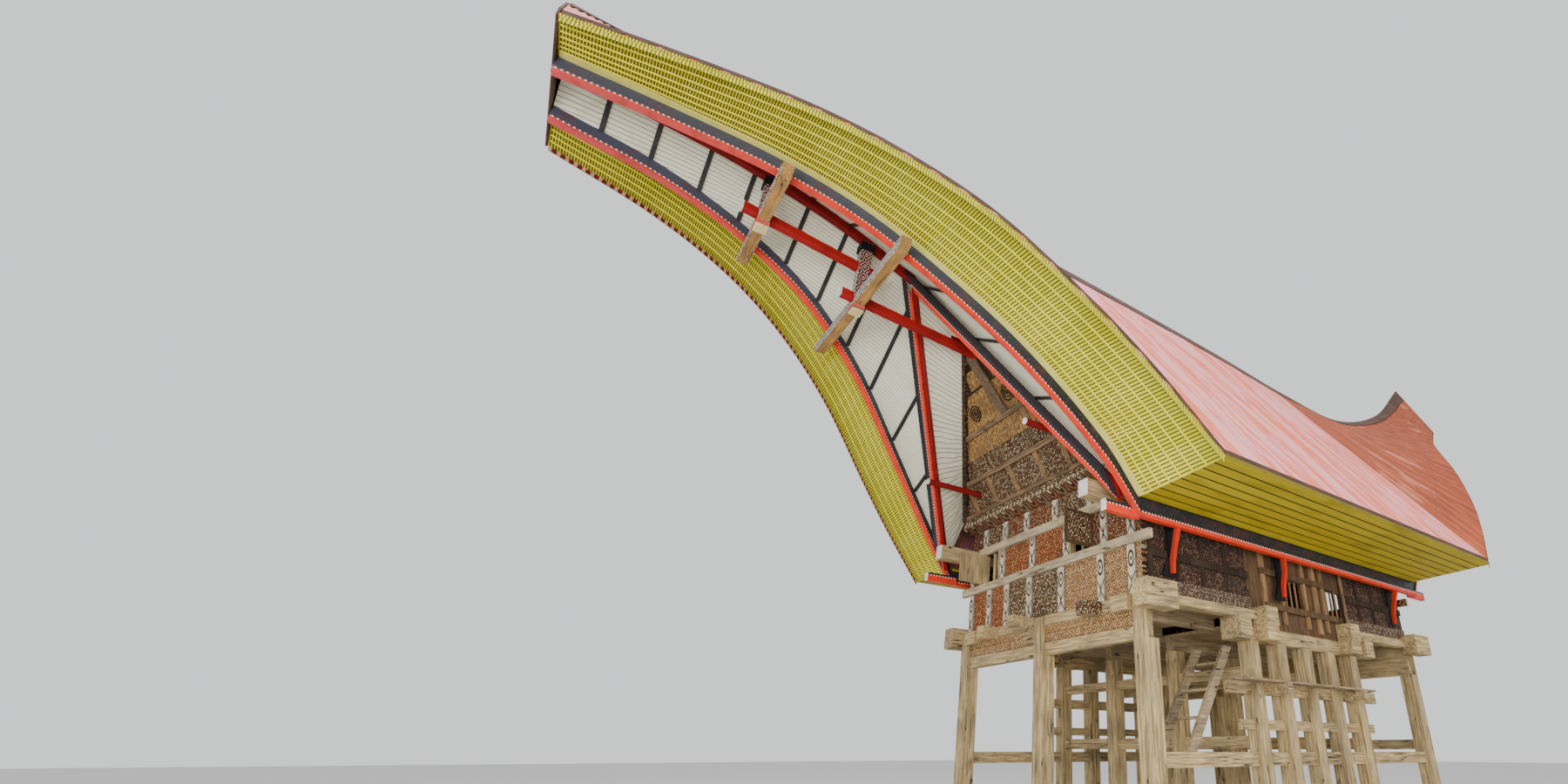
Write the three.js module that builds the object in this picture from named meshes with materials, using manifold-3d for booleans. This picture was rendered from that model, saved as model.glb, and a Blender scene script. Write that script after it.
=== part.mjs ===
// Tongkonan house: a raised timber house with a boat-shaped roof that sweeps out past both gables.
// Millimetres, +Z up. The front gable faces -Y, the ridge runs along Y, the ground is z = 0.
// Shapes are written in a house frame whose y = 0 is the front wall; the last step centres them.
import * as THREE from 'three';
import { mergeVertices } from 'three/addons/utils/BufferGeometryUtils.js';
import Module from 'manifold-3d';

const wasm = await Module();
wasm.setup();

// Driving dimensions
const GAP = 0.3; // clear distance between pieces that touch
const LENGTH = 6500; // front wall to back wall
const POST_X = 2000; // centre of the outer posts
const POST = 210; // front and back post side
const ROW_POST = 200; // side row post side
const SILL_Z = 2360; // underside of the front sill, top of the post shafts
const SILL_TOP = 2900;
const FLOOR_T = 40;
const MID_FLOOR_Z = 2710; // underside of the lower middle floor
const WALL_X = 2080; // outer face of the side walls
const WALL_T = 50;
const WALL_TOP = 4250;
const ROW_STEP = 640;
const ROW_COUNT = 5;
const BAY = (LENGTH - (ROW_COUNT - 1) * ROW_STEP) / 2; // front wall to the first post of the side row
const RAIL_Z = [3600, 4210]; // centres of the two rails on the front wall
const PLATE_Z = 4620; // underside of the beam that carries the leaning gable
const GABLE_Z = 4850;
const GABLE_HALF = 2100;
const GABLE_TOP = 7150;
const GABLE_Y0 = -200; // front face of the gable at its foot and at its top
const GABLE_Y1 = -1600;
const GABLE_T = 60;
const ROD_X = 1330; // round rods that stand out of the gable
const ROD_Z = 5090;
const EAVE_P = 296; // the eave line runs this far past each wall
const TIP_P = 7138; // the roof edge ends this far out from each wall
const ROOF_T = 60; // vertical thickness of the roof covering and its battens
const BAND_T = 45; // thickness of the slatted roof edge
const TRIM_H = 250; // hanging board along the inner edge
const TRIM_BLACK = 155; // its upper, thinner part
const TRIM_X = -22; // its middle, measured from the inner edge
const TRIM_TOP = 44; // thickness of its upper part
const CEILING_T = 20;
const RIDGE_FRONT = -7338;
const RIDGE_BACK = LENGTH + 7938;
const LIFT = 1600; // the back prow sweeps up this much more than the front one
const LIFT_P = 2620;
const PURLIN_H = 120;
const PURLIN_W = 100;

// Roof edge seen from above the wall corner to the tip: distance out, x, z
const OUTER = [[296, 3620, 4153], [1096, 3417, 5016], [1768, 3168, 5741], [2733, 2721, 6743],
  [3709, 2252, 7442], [4715, 1812, 7889], [5856, 1390, 8113], [7138, 1018, 8170]];
const INNER = [[296, 2300, 3985], [790, 2240, 4641], [1725, 1891, 5750], [2669, 1441, 6719],
  [3694, 1059, 7481], [4788, 765, 7922], [5938, 529, 8120], [7138, 395, 8160]];
// Ceiling height over the centre line: distance out, z
const APEX = [[2540, 7740], [3720, 8150], [5030, 8410], [6150, 8490], [7138, 8510]];
// Ridge line: y, z
const RIDGE = [[-7338, 9420], [-5000, 9425], [-2500, 9440], [0, 9450], [2500, 9430], [5000, 9370],
  [7500, 9260], [10000, 9340], [12500, 10330], [14438, 11900]];
// Gable frame legs: apex and foot, as x, distance out, z
const LEG_TOP = [0, 2540, 7690];
const LEG_FOOT = [2150, 480, 4150];

// Smooth curve through a table's rows: column k at position t
const curve = (table, k) => (t) => {
  const n = table.length;
  if (t <= table[0][0]) return table[0][k];
  if (t >= table[n - 1][0]) return table[n - 1][k];
  let i = 0;
  while (t > table[i + 1][0]) i++;
  const slope = (j) => {
    const a = Math.max(j - 1, 0);
    const b = Math.min(j + 1, n - 1);
    return (table[b][k] - table[a][k]) / (table[b][0] - table[a][0]);
  };
  const h = table[i + 1][0] - table[i][0];
  const s = (t - table[i][0]) / h;
  return (2 * s ** 3 - 3 * s ** 2 + 1) * table[i][k] + (s ** 3 - 2 * s ** 2 + s) * h * slope(i)
    + (3 * s ** 2 - 2 * s ** 3) * table[i + 1][k] + (s ** 3 - s ** 2) * h * slope(i + 1);
};
const outerX = curve(OUTER, 1);
const outerZ = curve(OUTER, 2);
const innerX = curve(INNER, 1);
const innerZ = curve(INNER, 2);
const apexZ = curve(APEX, 1);
const ridgeZ = curve(RIDGE, 1);
const mix = (a, b, t) => a + (b - a) * t;

const reverse = (geometry) => {
  const index = geometry.index.array.slice();
  for (let i = 0; i < index.length; i += 3) [index[i], index[i + 2]] = [index[i + 2], index[i]];
  return geometry.setIndex(new THREE.BufferAttribute(index, 1));
};

const volume = (geometry) => {
  const p = geometry.attributes.position;
  const index = geometry.index.array;
  const [a, b, c] = [new THREE.Vector3(), new THREE.Vector3(), new THREE.Vector3()];
  let sum = 0;
  for (let i = 0; i < index.length; i += 3) {
    a.fromBufferAttribute(p, index[i]);
    b.fromBufferAttribute(p, index[i + 1]);
    c.fromBufferAttribute(p, index[i + 2]);
    sum += a.dot(b.cross(c)) / 6;
  }
  return sum;
};

// A box of nu x nv x nw cells whose corners are moved by place(u, v, w), each from 0 to 1
const warp = (nu, nv, nw, place) => {
  const geometry = new THREE.BoxGeometry(1, 1, 1, nu, nv, nw);
  const p = geometry.attributes.position;
  for (let i = 0; i < p.count; i++) {
    p.setXYZ(i, ...place(p.getX(i) + 0.5, p.getY(i) + 0.5, p.getZ(i) + 0.5));
  }
  return volume(geometry) < 0 ? reverse(geometry) : geometry;
};

const box = (x0, x1, y0, y1, z0, z1) => new THREE.BoxGeometry(x1 - x0, y1 - y0, z1 - z0)
  .translate((x0 + x1) / 2, (y0 + y1) / 2, (z0 + z1) / 2);

// Outline in the YZ plane pushed along X
const extrudeX = (points, x0, x1) => new THREE.ExtrudeGeometry(
  new THREE.Shape(points.map(([y, z]) => new THREE.Vector2(y, z))),
  { depth: x1 - x0, bevelEnabled: false },
).applyMatrix4(new THREE.Matrix4().set(0, 0, 1, x0, 1, 0, 0, 0, 0, 1, 0, 0, 0, 0, 0, 1));

const toSolid = (geometry) => {
  const g = geometry.clone();
  g.deleteAttribute('normal');
  g.deleteAttribute('uv');
  const m = mergeVertices(g, 0.001);
  return new wasm.Manifold(new wasm.Mesh({
    numProp: 3,
    vertProperties: new Float32Array(m.attributes.position.array),
    triVerts: new Uint32Array(m.index.array),
  }));
};

const toGeometry = (solid) => {
  const mesh = solid.getMesh();
  const geometry = new THREE.BufferGeometry();
  geometry.setAttribute('position', new THREE.BufferAttribute(new Float32Array(mesh.vertProperties), 3));
  geometry.setIndex(new THREE.BufferAttribute(new Uint32Array(mesh.triVerts), 1));
  return geometry;
};

const join = (shapes) => toGeometry(shapes.map(toSolid).reduce((a, b) => a.add(b)));
const cut = (shape, holes) => toGeometry(holes.map(toSolid).reduce((a, b) => a.subtract(b), toSolid(shape)));

const flip = (geometry, sx, sy, dy) => {
  const g = geometry.index ? geometry.clone() : mergeVertices(geometry.clone());
  return reverse(g.scale(sx, sy, 1).translate(0, dy, 0));
};
const lift = (y) => LIFT * Math.max(0, (y - LENGTH - LIFT_P) / (TIP_P - LIFT_P)) ** 2;
const sweepUp = (geometry) => {
  const p = geometry.attributes.position;
  for (let i = 0; i < p.count; i++) p.setZ(i, p.getZ(i) + lift(p.getY(i)));
  return geometry;
};
const toLeft = (geometry) => flip(geometry, -1, 1, 0);
const toBack = (geometry) => flip(geometry, 1, -1, LENGTH);

const COLOURS = {
  weathered_wood: '#9a865f', carved_wood: '#6b3a22', roof_metal: '#e2967f', slat_yellow: '#b9ac2c',
  ceiling_white: '#cfcbb2', trim_red: '#c42a14', ridge_brown: '#4a2f26', plank_wood: '#a8936a',
};
const group = new THREE.Group();
const add = (name, colour, geometry) => {
  const material = new THREE.MeshStandardMaterial({ color: COLOURS[colour], name: colour });
  const mesh = new THREE.Mesh(geometry.clone(), material);
  mesh.name = name;
  group.add(mesh);
};

// Front posts: square shaft with a thin tongue that rises before the sill
function cornerPost(x) {
  const half = POST / 2;
  return extrudeX([[-half, 0], [half, 0], [half, SILL_Z - GAP], [-62, SILL_Z - GAP], [-62, SILL_TOP - 20],
    [-half, SILL_TOP - 20]], x - half, x + half);
}

// Side row: close-set posts held by through tie beams
const rowY = Array.from({ length: ROW_COUNT }, (_, i) => BAY + i * ROW_STEP);
const TIES = [[980, 1140], [1400, 1520], [1830, 1980]];
function postRow(x, top, first, last) {
  const half = ROW_POST / 2;
  const parts = rowY.map((y) => box(x - half, x + half, y - half, y + half, 0, top));
  TIES.forEach(([z0, z1], i) => parts.push(box(x - 45, x + 45, first[i], last[i], z0, z1)));
  return parts;
}

function sideRow() {
  const start = [POST / 2 + GAP, BAY - 350, BAY - 560];
  const end = start.map((y) => LENGTH - y);
  const parts = postRow(POST_X, MID_FLOOR_Z - 200 - GAP, start, end);
  for (const y of [rowY[0] + 320, rowY[3] + 320]) parts.push(box(POST_X, 2360, y - 50, y + 50, 1840, 1970));
  return join(parts);
}

// Inner frames under the floor: two posts each, tied to each other and to the side rows
const INNER_X = 680;
const INNER_FRAMES = [0, 2, 4];
function innerFrame(y) {
  const half = ROW_POST / 2;
  const reach = POST_X - half - GAP;
  const top = MID_FLOOR_Z - 200 - GAP;
  const posts = [-INNER_X, INNER_X].map((x) => box(x - half, x + half, y - half, y + half, 0, top));
  const ties = [[1180, 1330], [2050, 2190]].map(([z0, z1]) => box(-reach, reach, y - 45, y + 45, z0, z1));
  return join([...posts, ...ties]);
}

// Front sill: stepped beam with the carved beam heads that stand out of it
const SILL_Y = 61.7;
const BAY_SILL = [2785, 2905];
function frontSill() {
  const profile = [[-SILL_Y, SILL_Z], [SILL_Y, SILL_Z], [SILL_Y, SILL_TOP], [-SILL_Y, SILL_TOP],
    [-SILL_Y, 2760], [-45, 2760], [-45, 2520], [-SILL_Y, 2520]];
  const parts = [extrudeX(profile, -2060, 2060)];
  for (const x of [-1200, 1200]) parts.push(box(x - 95, x + 95, -330, 0, 2720, SILL_TOP));
  for (const x of [-1740, 1740]) parts.push(box(x - 145, x + 145, -185, 0, 2700, SILL_TOP));
  const corbel = [[0, SILL_TOP], [-470, SILL_TOP], [-470, 2820], [-400, 2770], [-270, 2735], [-150, 2650],
    [-106, 2560], [-45, 2540], [0, 2540]];
  parts.push(extrudeX(corbel, -330, -106));
  return join(parts);
}

// Side sill: bay beams with block heads at both ends, lower beam between, stacked beam ends where they meet
function sideSill() {
  const half = POST / 2;
  const x0 = POST_X + half + GAP;
  const bay = join([
    box(POST_X + 10, x0 + 60, SILL_Y + GAP, BAY + 30, ...BAY_SILL),
    box(WALL_X + GAP, x0 + 60, BAY, BAY + 300, ...BAY_SILL),
    box(x0, x0 + 240, -300, half + 120, 2680, 3000),
    box(POST_X - 90, x0 + 130, BAY - 440, BAY - 190, 2500, 2786),
    box(WALL_X + GAP, x0 + 210, BAY + 60, BAY + 330, MID_FLOOR_Z - 1, 2960),
    box(POST_X - 60, x0 + 190, BAY + 70, BAY + 340, MID_FLOOR_Z - 200, MID_FLOOR_Z - GAP),
  ]);
  const middle = box(POST_X - 60, POST_X + 75, BAY - 60, LENGTH - BAY + 60, MID_FLOOR_Z - 200,
    MID_FLOOR_Z - GAP);
  return join([middle, bay, toBack(bay)]);
}

// Floors: boards on longitudinal joists
function bayFloor() {
  const boards = box(-POST_X, POST_X, SILL_Y + GAP, BAY - 120, SILL_TOP - FLOOR_T, SILL_TOP);
  const joists = [-1500, -500, 500, 1500].map((x) => box(x - 60, x + 60, SILL_Y + GAP, BAY - 120, 2700,
    SILL_TOP - FLOOR_T + 1));
  return join([boards, ...joists]);
}

function middleFloor() {
  const y0 = BAY - 110;
  const y1 = LENGTH - BAY + 110;
  const boards = box(-POST_X + 20, POST_X - 20, y0, y1, MID_FLOOR_Z, MID_FLOOR_Z + FLOOR_T);
  const beams = [-INNER_X, INNER_X].map((x) => box(x - 70, x + 70, y0, y1, MID_FLOOR_Z - 200, MID_FLOOR_Z + 1));
  return join([boards, ...beams]);
}

// Front wall from one x to another: planks with two window openings and two rails that run past its edges
const WINDOWS_FRONT = [[-1600, -1150], [650, 1100]];
const RAIL_END = 2230;
const WALL_JOINT_X = 500; // the front wall's two parts meet beside the right window
function frontWall(from, to) {
  const edge = WALL_X - WALL_T - GAP;
  const plate = box(Math.max(from, -edge), Math.min(to, edge), -20, 40, SILL_TOP + GAP, PLATE_Z - GAP);
  const holes = WINDOWS_FRONT.map(([x0, x1]) => box(x0, x1, -200, 200, RAIL_Z[0] + 60, RAIL_Z[1] - 60));
  const rails = RAIL_Z.map((z, i) => box(from, Math.min(to, RAIL_END - i * 150), -85, -19, z - 60, z + 60));
  return cut(join([plate, ...rails]), [...holes, wallPlate(GAP), toLeft(wallPlate(GAP))]);
}

function shutter(x, width) {
  return box(x - 12, x + 12, -90 - width, -20 - GAP, RAIL_Z[0] + 60 + GAP, RAIL_Z[1] - 60 - GAP);
}

// Side walls: bay parts stand on the raised sill, the middle part on the lower beam and has windows
function bayWall() {
  return box(WALL_X - WALL_T, WALL_X, 41, BAY + 40 - GAP, BAY_SILL[1] + GAP, WALL_TOP);
}

const WINDOWS_SIDE = [[2420, 2960], [3540, 4080]];
function middleWall() {
  const plate = box(WALL_X - WALL_T, WALL_X, BAY + 40, LENGTH - BAY - 40, MID_FLOOR_Z + GAP, WALL_TOP);
  const holes = WINDOWS_SIDE.map(([y0, y1]) => box(1900, 2200, y0 + 400, y1 + 400, 3090, 3480));
  return cut(plate, holes);
}

function middleRails() {
  return [3029, 3527].map((z) => box(WALL_X - 1, WALL_X + 60, BAY + 340, LENGTH - BAY - 340, z - 45, z + 45));
}

// Beam under the gable
function gableBeam() {
  return extrudeX([[60, PLATE_Z], [60, GABLE_Z - GAP], [GABLE_Y0 - 30, GABLE_Z - GAP],
    [GABLE_Y0 - 30, PLATE_Z + 60], [-85, PLATE_Z]], -GABLE_HALF + 40, GABLE_HALF - 40);
}

const GABLE_LEAN = (GABLE_Y0 - GABLE_Y1) / (GABLE_TOP - GABLE_Z);
const gableY = (z) => mix(GABLE_Y0, GABLE_Y1, (z - GABLE_Z) / (GABLE_TOP - GABLE_Z));

// Leaning gable: a triangular plate on its beam, its front face on the plane from foot to top
function gable() {
  const plate = warp(2, 6, 1, (u, v, w) => {
    const z = mix(GABLE_Z, GABLE_TOP, v) - (v > 0 ? 0 : 10);
    const half = mix(GABLE_HALF, 10, v);
    return [mix(-half, half, u), gableY(z) + GAP + (1 - w) * GABLE_T, z];
  });
  return join([gableBeam(), plate, ...[-ROD_X, ROD_X].map(rod)]);
}

// Wall plates run inside the side walls and stand out past both gables
const PLATE = { x0: 1740, x1: 1920, out: 800, z0: 4020, z1: 4240 };
const wallPlate = (gap) => box(PLATE.x0 - gap, PLATE.x1 + gap, -PLATE.out, LENGTH + PLATE.out,
  PLATE.z0 - gap, PLATE.z1 + gap);

function rod(x) {
  const end = -1345;
  const back = gableY(ROD_Z) + GABLE_T / 2;
  return new THREE.CylinderGeometry(45, 45, back - end, 12).translate(x, (back + end) / 2, ROD_Z);
}

// Point of the gable frame's centre line, s from -1 (left foot) over the top to 1
const leg = (s) => {
  const a = Math.abs(s);
  return [LEG_FOOT[0] * s, -mix(LEG_TOP[1], LEG_FOOT[1], a), mix(LEG_TOP[2], LEG_FOOT[2], a)];
};
const LEG_W = 60;
const LEG_H = 210;
function gableFrame() {
  return warp(24, 1, 1, (u, v, w) => {
    const s = mix(-1, 1, u);
    const [x, y, z] = leg(s);
    return [x, y + (v - 0.5) * LEG_W, z - LEG_H + w * (LEG_H + 20)];
  });
}

// Slatted soffit from the gable frame back to the gable
function gableSoffit() {
  return warp(24, 1, 1, (u, v, w) => {
    const s = mix(-1, 1, u);
    const a = leg(s);
    a[1] += LEG_W / 2 + GAP;
    const down = Math.abs(s);
    const b = [(GABLE_HALF - 2) * s, mix(GABLE_Y1, GABLE_Y0, down), mix(GABLE_TOP, GABLE_Z, down)];
    const p = a.map((c, i) => mix(a[i], b[i], v));
    return [p[0], p[1] - w * v * CEILING_T * GABLE_LEAN, p[2] + w * CEILING_T];
  });
}

// Roof edge, ceiling and trim between the eave corner and the tip; v runs outwards
// Stations along the prow are shared, so that pieces which touch bend at the same places
const range = (from, to, cells) => Array.from({ length: cells }, (_, i) => mix(from, to, i / cells));
const CEILING_P = LEG_FOOT[1] + 160;
const CENTRE_P = LEG_TOP[1] + 32;
const STATIONS = [...range(EAVE_P + GAP, CEILING_P, 2), ...range(CEILING_P, CENTRE_P, 7),
  ...range(CENTRE_P, TIP_P, 13), TIP_P];
const CELLS = STATIONS.length - 1;
const CEILING_CELLS = CELLS - 2;
const PURLIN_CELLS = CELLS - 9;
const station = (v, cells) => STATIONS[CELLS - cells + Math.round(v * cells)];
const chord = (f, p) => {
  const i = Math.max(1, STATIONS.findIndex((q) => q >= p));
  return mix(f(STATIONS[i - 1]), f(STATIONS[i]), (p - STATIONS[i - 1]) / (STATIONS[i] - STATIONS[i - 1]));
};

function edgeBand() {
  return warp(2, CELLS, 1, (u, v, w) => {
    const p = station(v, CELLS);
    const z = u < 1 ? innerZ(p) : outerZ(p) - ROOF_T - BAND_T - 2 * GAP;
    return [[innerX(p) - TRIM_TOP, innerX(p), outerX(p)][u * 2], -p, z + w * BAND_T];
  });
}

function edgeTrim() {
  const levels = [0, TRIM_H - TRIM_BLACK - 4, TRIM_H - TRIM_BLACK, TRIM_H];
  return warp(1, CELLS, 3, (u, v, w) => {
    const p = station(v, CELLS);
    const k = Math.round(w * 3);
    const half = k < 2 ? 42 : TRIM_TOP / 2;
    return [innerX(p) + TRIM_X + (u - 0.5) * 2 * half, -p, innerZ(p) - GAP - TRIM_H + levels[k]];
  });
}

// Ceiling panel of one side: from the inner edge up to the centre line, or to the frame leg near the wall
function ceiling() {
  const legHalf = (LEG_W / 2) * (LEG_FOOT[0] / (LEG_TOP[1] - LEG_FOOT[1])) + 2;
  return warp(2, CEILING_CELLS, 1, (u, v, w) => {
    const p = station(v, CEILING_CELLS);
    const t = Math.min(1, (LEG_TOP[1] - p) / (LEG_TOP[1] - LEG_FOOT[1]));
    const xc = t > 0 ? LEG_FOOT[0] * t + legHalf : Math.max(GAP, legHalf + LEG_FOOT[0] * t);
    const zc = t > 0 ? mix(LEG_TOP[2], LEG_FOOT[2], t) : apexZ(p);
    return [mix(xc, innerX(p) - TRIM_TOP - GAP, u), -p, mix(zc, innerZ(p) - 24, u) + w * CEILING_T];
  });
}

function purlin() {
  return warp(1, PURLIN_CELLS, 1, (u, v, w) => {
    const p = station(v, PURLIN_CELLS);
    const slope = (apexZ(p) - innerZ(p) + 24) / (innerX(p) - TRIM_TOP);
    return [(u - 0.5) * PURLIN_W, -p, apexZ(p) - slope * (PURLIN_W / 2) - 7 * GAP - PURLIN_H + w * PURLIN_H];
  });
}

// Side soffit: boards from the eave beam out to the roof edge
function sideSoffit() {
  const z1 = OUTER[0][2] - ROOF_T - BAND_T - GAP;
  const x = INNER[0][1];
  return warp(2, 1, 1, (u, v, w) => [[x - TRIM_TOP, x, OUTER[0][1]][u * 2],
    mix(-EAVE_P, LENGTH + EAVE_P, v), (u < 1 ? INNER[0][2] : z1) + w * BAND_T]);
}

// Eave beam: hanging board along the side, with brackets that lean back to the wall
const BRACKETS = [[400, WALL_X + GAP], [2700, WALL_X + 60 + GAP], [LENGTH - 400, WALL_X + GAP]];
function eaveBeam() {
  const x = INNER[0][1] + TRIM_X;
  const z = INNER[0][2] - GAP - TRIM_H;
  const step = TRIM_H - TRIM_BLACK;
  const half = TRIM_TOP / 2;
  const profile = [[-42, 0], [42, 0], [42, step], [half, step], [half, TRIM_H], [-half, TRIM_H], [-half, step],
    [-42, step]];
  const outline = (points) => new THREE.Shape(points.map(([a, b]) => new THREE.Vector2(a, b)));
  const sweep = (shape, depth, y) => new THREE.ExtrudeGeometry(shape, { depth, bevelEnabled: false })
    .rotateX(Math.PI / 2).translate(x, y, z);
  const parts = [sweep(outline(profile), LENGTH + 2 * EAVE_P, LENGTH + EAVE_P)];
  for (const [y, face] of BRACKETS) {
    const wall = face - x;
    const strut = [[40, 40], [-42, 40], [wall + 75, -190], [wall + 40, -400], [wall, -400], [wall, -560],
      [wall + 85, -560], [wall + 115, -230]];
    parts.push(sweep(outline(strut), 60, y + 30));
    parts.push(extrudeX([[-60, 100], [60, 100], [60, -300], [75, -600], [-170, -600], [-70, -380]]
      .map(([a, b]) => [y + a, z + b]), face, face + 35));
  }
  return join(parts);
}

// Prow truss: centre purlin, two king posts with a cross beam each, and two lower tie beams
const KINGS = [{ p: 3340, half: 1528 }, { p: 4740, half: 1048 }];
const CROSS_H = 170;
function prowTruss() {
  const parts = [];
  for (const { p, half } of KINGS) {
    const top = chord(innerZ, p - 75) - TRIM_H - 2 * GAP;
    parts.push(box(-85, 85, -p - 85, -p + 85, top - CROSS_H - 100, apexZ(p) - 115));
    parts.push(box(-half, half, -p - 75, -p + 75, top - CROSS_H, top));
  }
  const beam = (p0, z0, p1, z1) => warp(1, 1, 1, (u, v, w) => [(u - 0.5) * 110, -mix(p0, p1, v),
    mix(z0, z1, v) + (w - 0.5) * 130]);
  parts.push(beam(GAP - gableY(6780) + 90, 6780, KINGS[0].p + 260, 6930));
  parts.push(beam(KINGS[0].p - 300, 7420, KINGS[1].p + 270, 7620));
  return join([...parts, purlin()]);
}

// Roof covering of one slope, ridge to eave, tip to tip
const roofSpan = (v) => {
  const y = ROOF_Y[Math.round(v * ROOF_CELLS)];
  const p = Math.max(-y, y - LENGTH);
  const out = Math.max(0, p - EAVE_P) / (TIP_P - EAVE_P);
  const lean = y < LENGTH / 2 ? RIDGE_FRONT + TIP_P : RIDGE_BACK - LENGTH - TIP_P;
  const at = Math.max(p, EAVE_P);
  return { y, edgeX: outerX(at), edgeZ: outerZ(at) + lift(y), ridgeY: y + lean * out ** 2 };
};
const prowY = STATIONS.map((p) => -p).reverse();
const ROOF_Y = [...prowY, ...range(-EAVE_P, LENGTH + EAVE_P, 16).slice(1),
  ...prowY.map((y) => LENGTH - y).reverse()];
const ROOF_CELLS = ROOF_Y.length - 1;
function roofSlope() {
  return warp(4, ROOF_CELLS, 1, (u, v, w) => {
    const { y, edgeX, edgeZ, ridgeY } = roofSpan(v);
    const z = mix(ridgeZ(ridgeY), edgeZ, u);
    return [mix(GAP, edgeX, u), mix(ridgeY, y, u), z - (1 - w) * ROOF_T];
  });
}

const CAP_SEAT = 1.4; // the folded sheet clears the two slopes by this much along the ridge
const CAP_T = 24;
function ridgeCap() {
  const reach = 190;
  return warp(2, ROOF_CELLS, 1, (u, v, w) => {
    const { y, edgeX, edgeZ, ridgeY } = roofSpan(v);
    const side = Math.abs(u - 0.5) * 2;
    const t = reach * side / edgeX;
    const z = mix(ridgeZ(ridgeY), edgeZ, t) + CAP_SEAT + 20 * side + w * CAP_T;
    return [mix(-reach, reach, u), mix(ridgeY, y, t), z];
  });
}

// Board that closes each roof tip
function prowEnd(back) {
  const { y, edgeX, edgeZ: foot, ridgeY } = roofSpan(back ? 1 : 0);
  const out = back ? 1 : -1;
  const top = ridgeZ(ridgeY);
  const lean = GAP + ROOF_T * Math.abs(ridgeY - y) / (top - foot);
  const levels = [foot - ROOF_T - BAND_T, foot, top - 12];
  return warp(1, 2, 1, (u, v, w) => {
    const z = levels[Math.round(v * 2)];
    const rise = Math.max(0, (z - foot) / (top - foot));
    const half = mix(edgeX, 0, rise);
    return [mix(-half, half, u), mix(y, ridgeY, rise) + out * (lean + w * 24), z];
  });
}

// Ladder stair under the front bay: two stringers and three treads
function stair() {
  const low = [700, TIES[0][1] + GAP];
  const high = [1560, 2420];
  const stringer = (x) => warp(1, 1, 1, (u, v, w) => [x + (u - 0.5) * 55,
    mix(low[0], high[0], v) + (w - 0.5) * 150, mix(low[1], high[1], v)]);
  const steps = [0.3, 0.56, 0.82].map((t) => {
    const y = mix(low[0], high[0], t);
    const z = mix(low[1], high[1], t);
    return box(1430, 1960, y - 80, y + 70, z - 15, z + 15);
  });
  return join([stringer(1445), stringer(1945), ...steps]);
}

function sidePlanks() {
  return join([box(POST_X + 110, POST_X + 215, BAY - 640, LENGTH - BAY + 200, 1970 + GAP, 2000),
    box(POST_X + 190, POST_X + 330, BAY - 500, LENGTH - BAY + 60, 1970 + GAP, 1996)]);
}

function backPosts() {
  const parts = [-POST_X, 0, POST_X].map((x) => toBack(cornerPost(x)));
  parts.push(box(-POST_X, POST_X, LENGTH - 40, LENGTH + 40, 1180, 1330));
  return join(parts);
}

function frontPosts() {
  add('post_front_left', 'weathered_wood', cornerPost(-POST_X));
  add('post_front_centre', 'weathered_wood', cornerPost(0));
  add('post_front_right', 'weathered_wood', cornerPost(POST_X));
  add('posts_back', 'weathered_wood', backPosts());
}

function underfloor() {
  const row = sideRow();
  add('post_row_right', 'weathered_wood', row);
  add('post_row_left', 'weathered_wood', toLeft(row));
  INNER_FRAMES.forEach((k, i) => add(`post_frame_inner_${i + 1}`, 'weathered_wood', innerFrame(rowY[k])));
  add('sill_front', 'weathered_wood', frontSill());
  add('sill_back', 'weathered_wood', toBack(frontSill()));
  add('sill_right', 'weathered_wood', sideSill());
  add('sill_left', 'weathered_wood', toLeft(sideSill()));
  add('floor_front', 'plank_wood', bayFloor());
  add('floor_back', 'plank_wood', toBack(bayFloor()));
  add('floor_middle', 'plank_wood', middleFloor());
  add('stair', 'plank_wood', stair());
  add('side_planks', 'plank_wood', sidePlanks());
}

function walls() {
  add('wall_front_left', 'carved_wood', frontWall(-RAIL_END, WALL_JOINT_X - GAP / 2));
  add('wall_front_right', 'carved_wood', frontWall(WALL_JOINT_X + GAP / 2, RAIL_END));
  add('wall_back', 'carved_wood', toBack(frontWall(-RAIL_END, RAIL_END)));
  const middle = join([middleWall(), ...middleRails()]);
  const pieces = { wall_side_front: bayWall(), wall_side_middle: middle, wall_side_back: toBack(bayWall()) };
  for (const [name, shape] of Object.entries(pieces)) {
    add(`${name}_right`, 'carved_wood', shape);
    add(`${name}_left`, 'carved_wood', toLeft(shape));
  }
  add('shutter_front_left', 'carved_wood', shutter(WINDOWS_FRONT[0][0] - 14, 430));
  add('shutter_front_right', 'carved_wood', shutter(WINDOWS_FRONT[1][1] + 14, 430));
  add('wall_plate_right', 'weathered_wood', wallPlate(0));
  add('wall_plate_left', 'weathered_wood', toLeft(wallPlate(0)));
}

function gables() {
  const shapes = {
    gable: ['carved_wood', gable()], gable_frame: ['trim_red', gableFrame()],
    gable_soffit: ['ceiling_white', gableSoffit()], prow_truss: ['carved_wood', prowTruss()],
  };
  for (const [name, [colour, shape]] of Object.entries(shapes)) {
    add(`${name}_front`, colour, shape);
    add(`${name}_back`, colour, sweepUp(toBack(shape)));
  }
}

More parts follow.
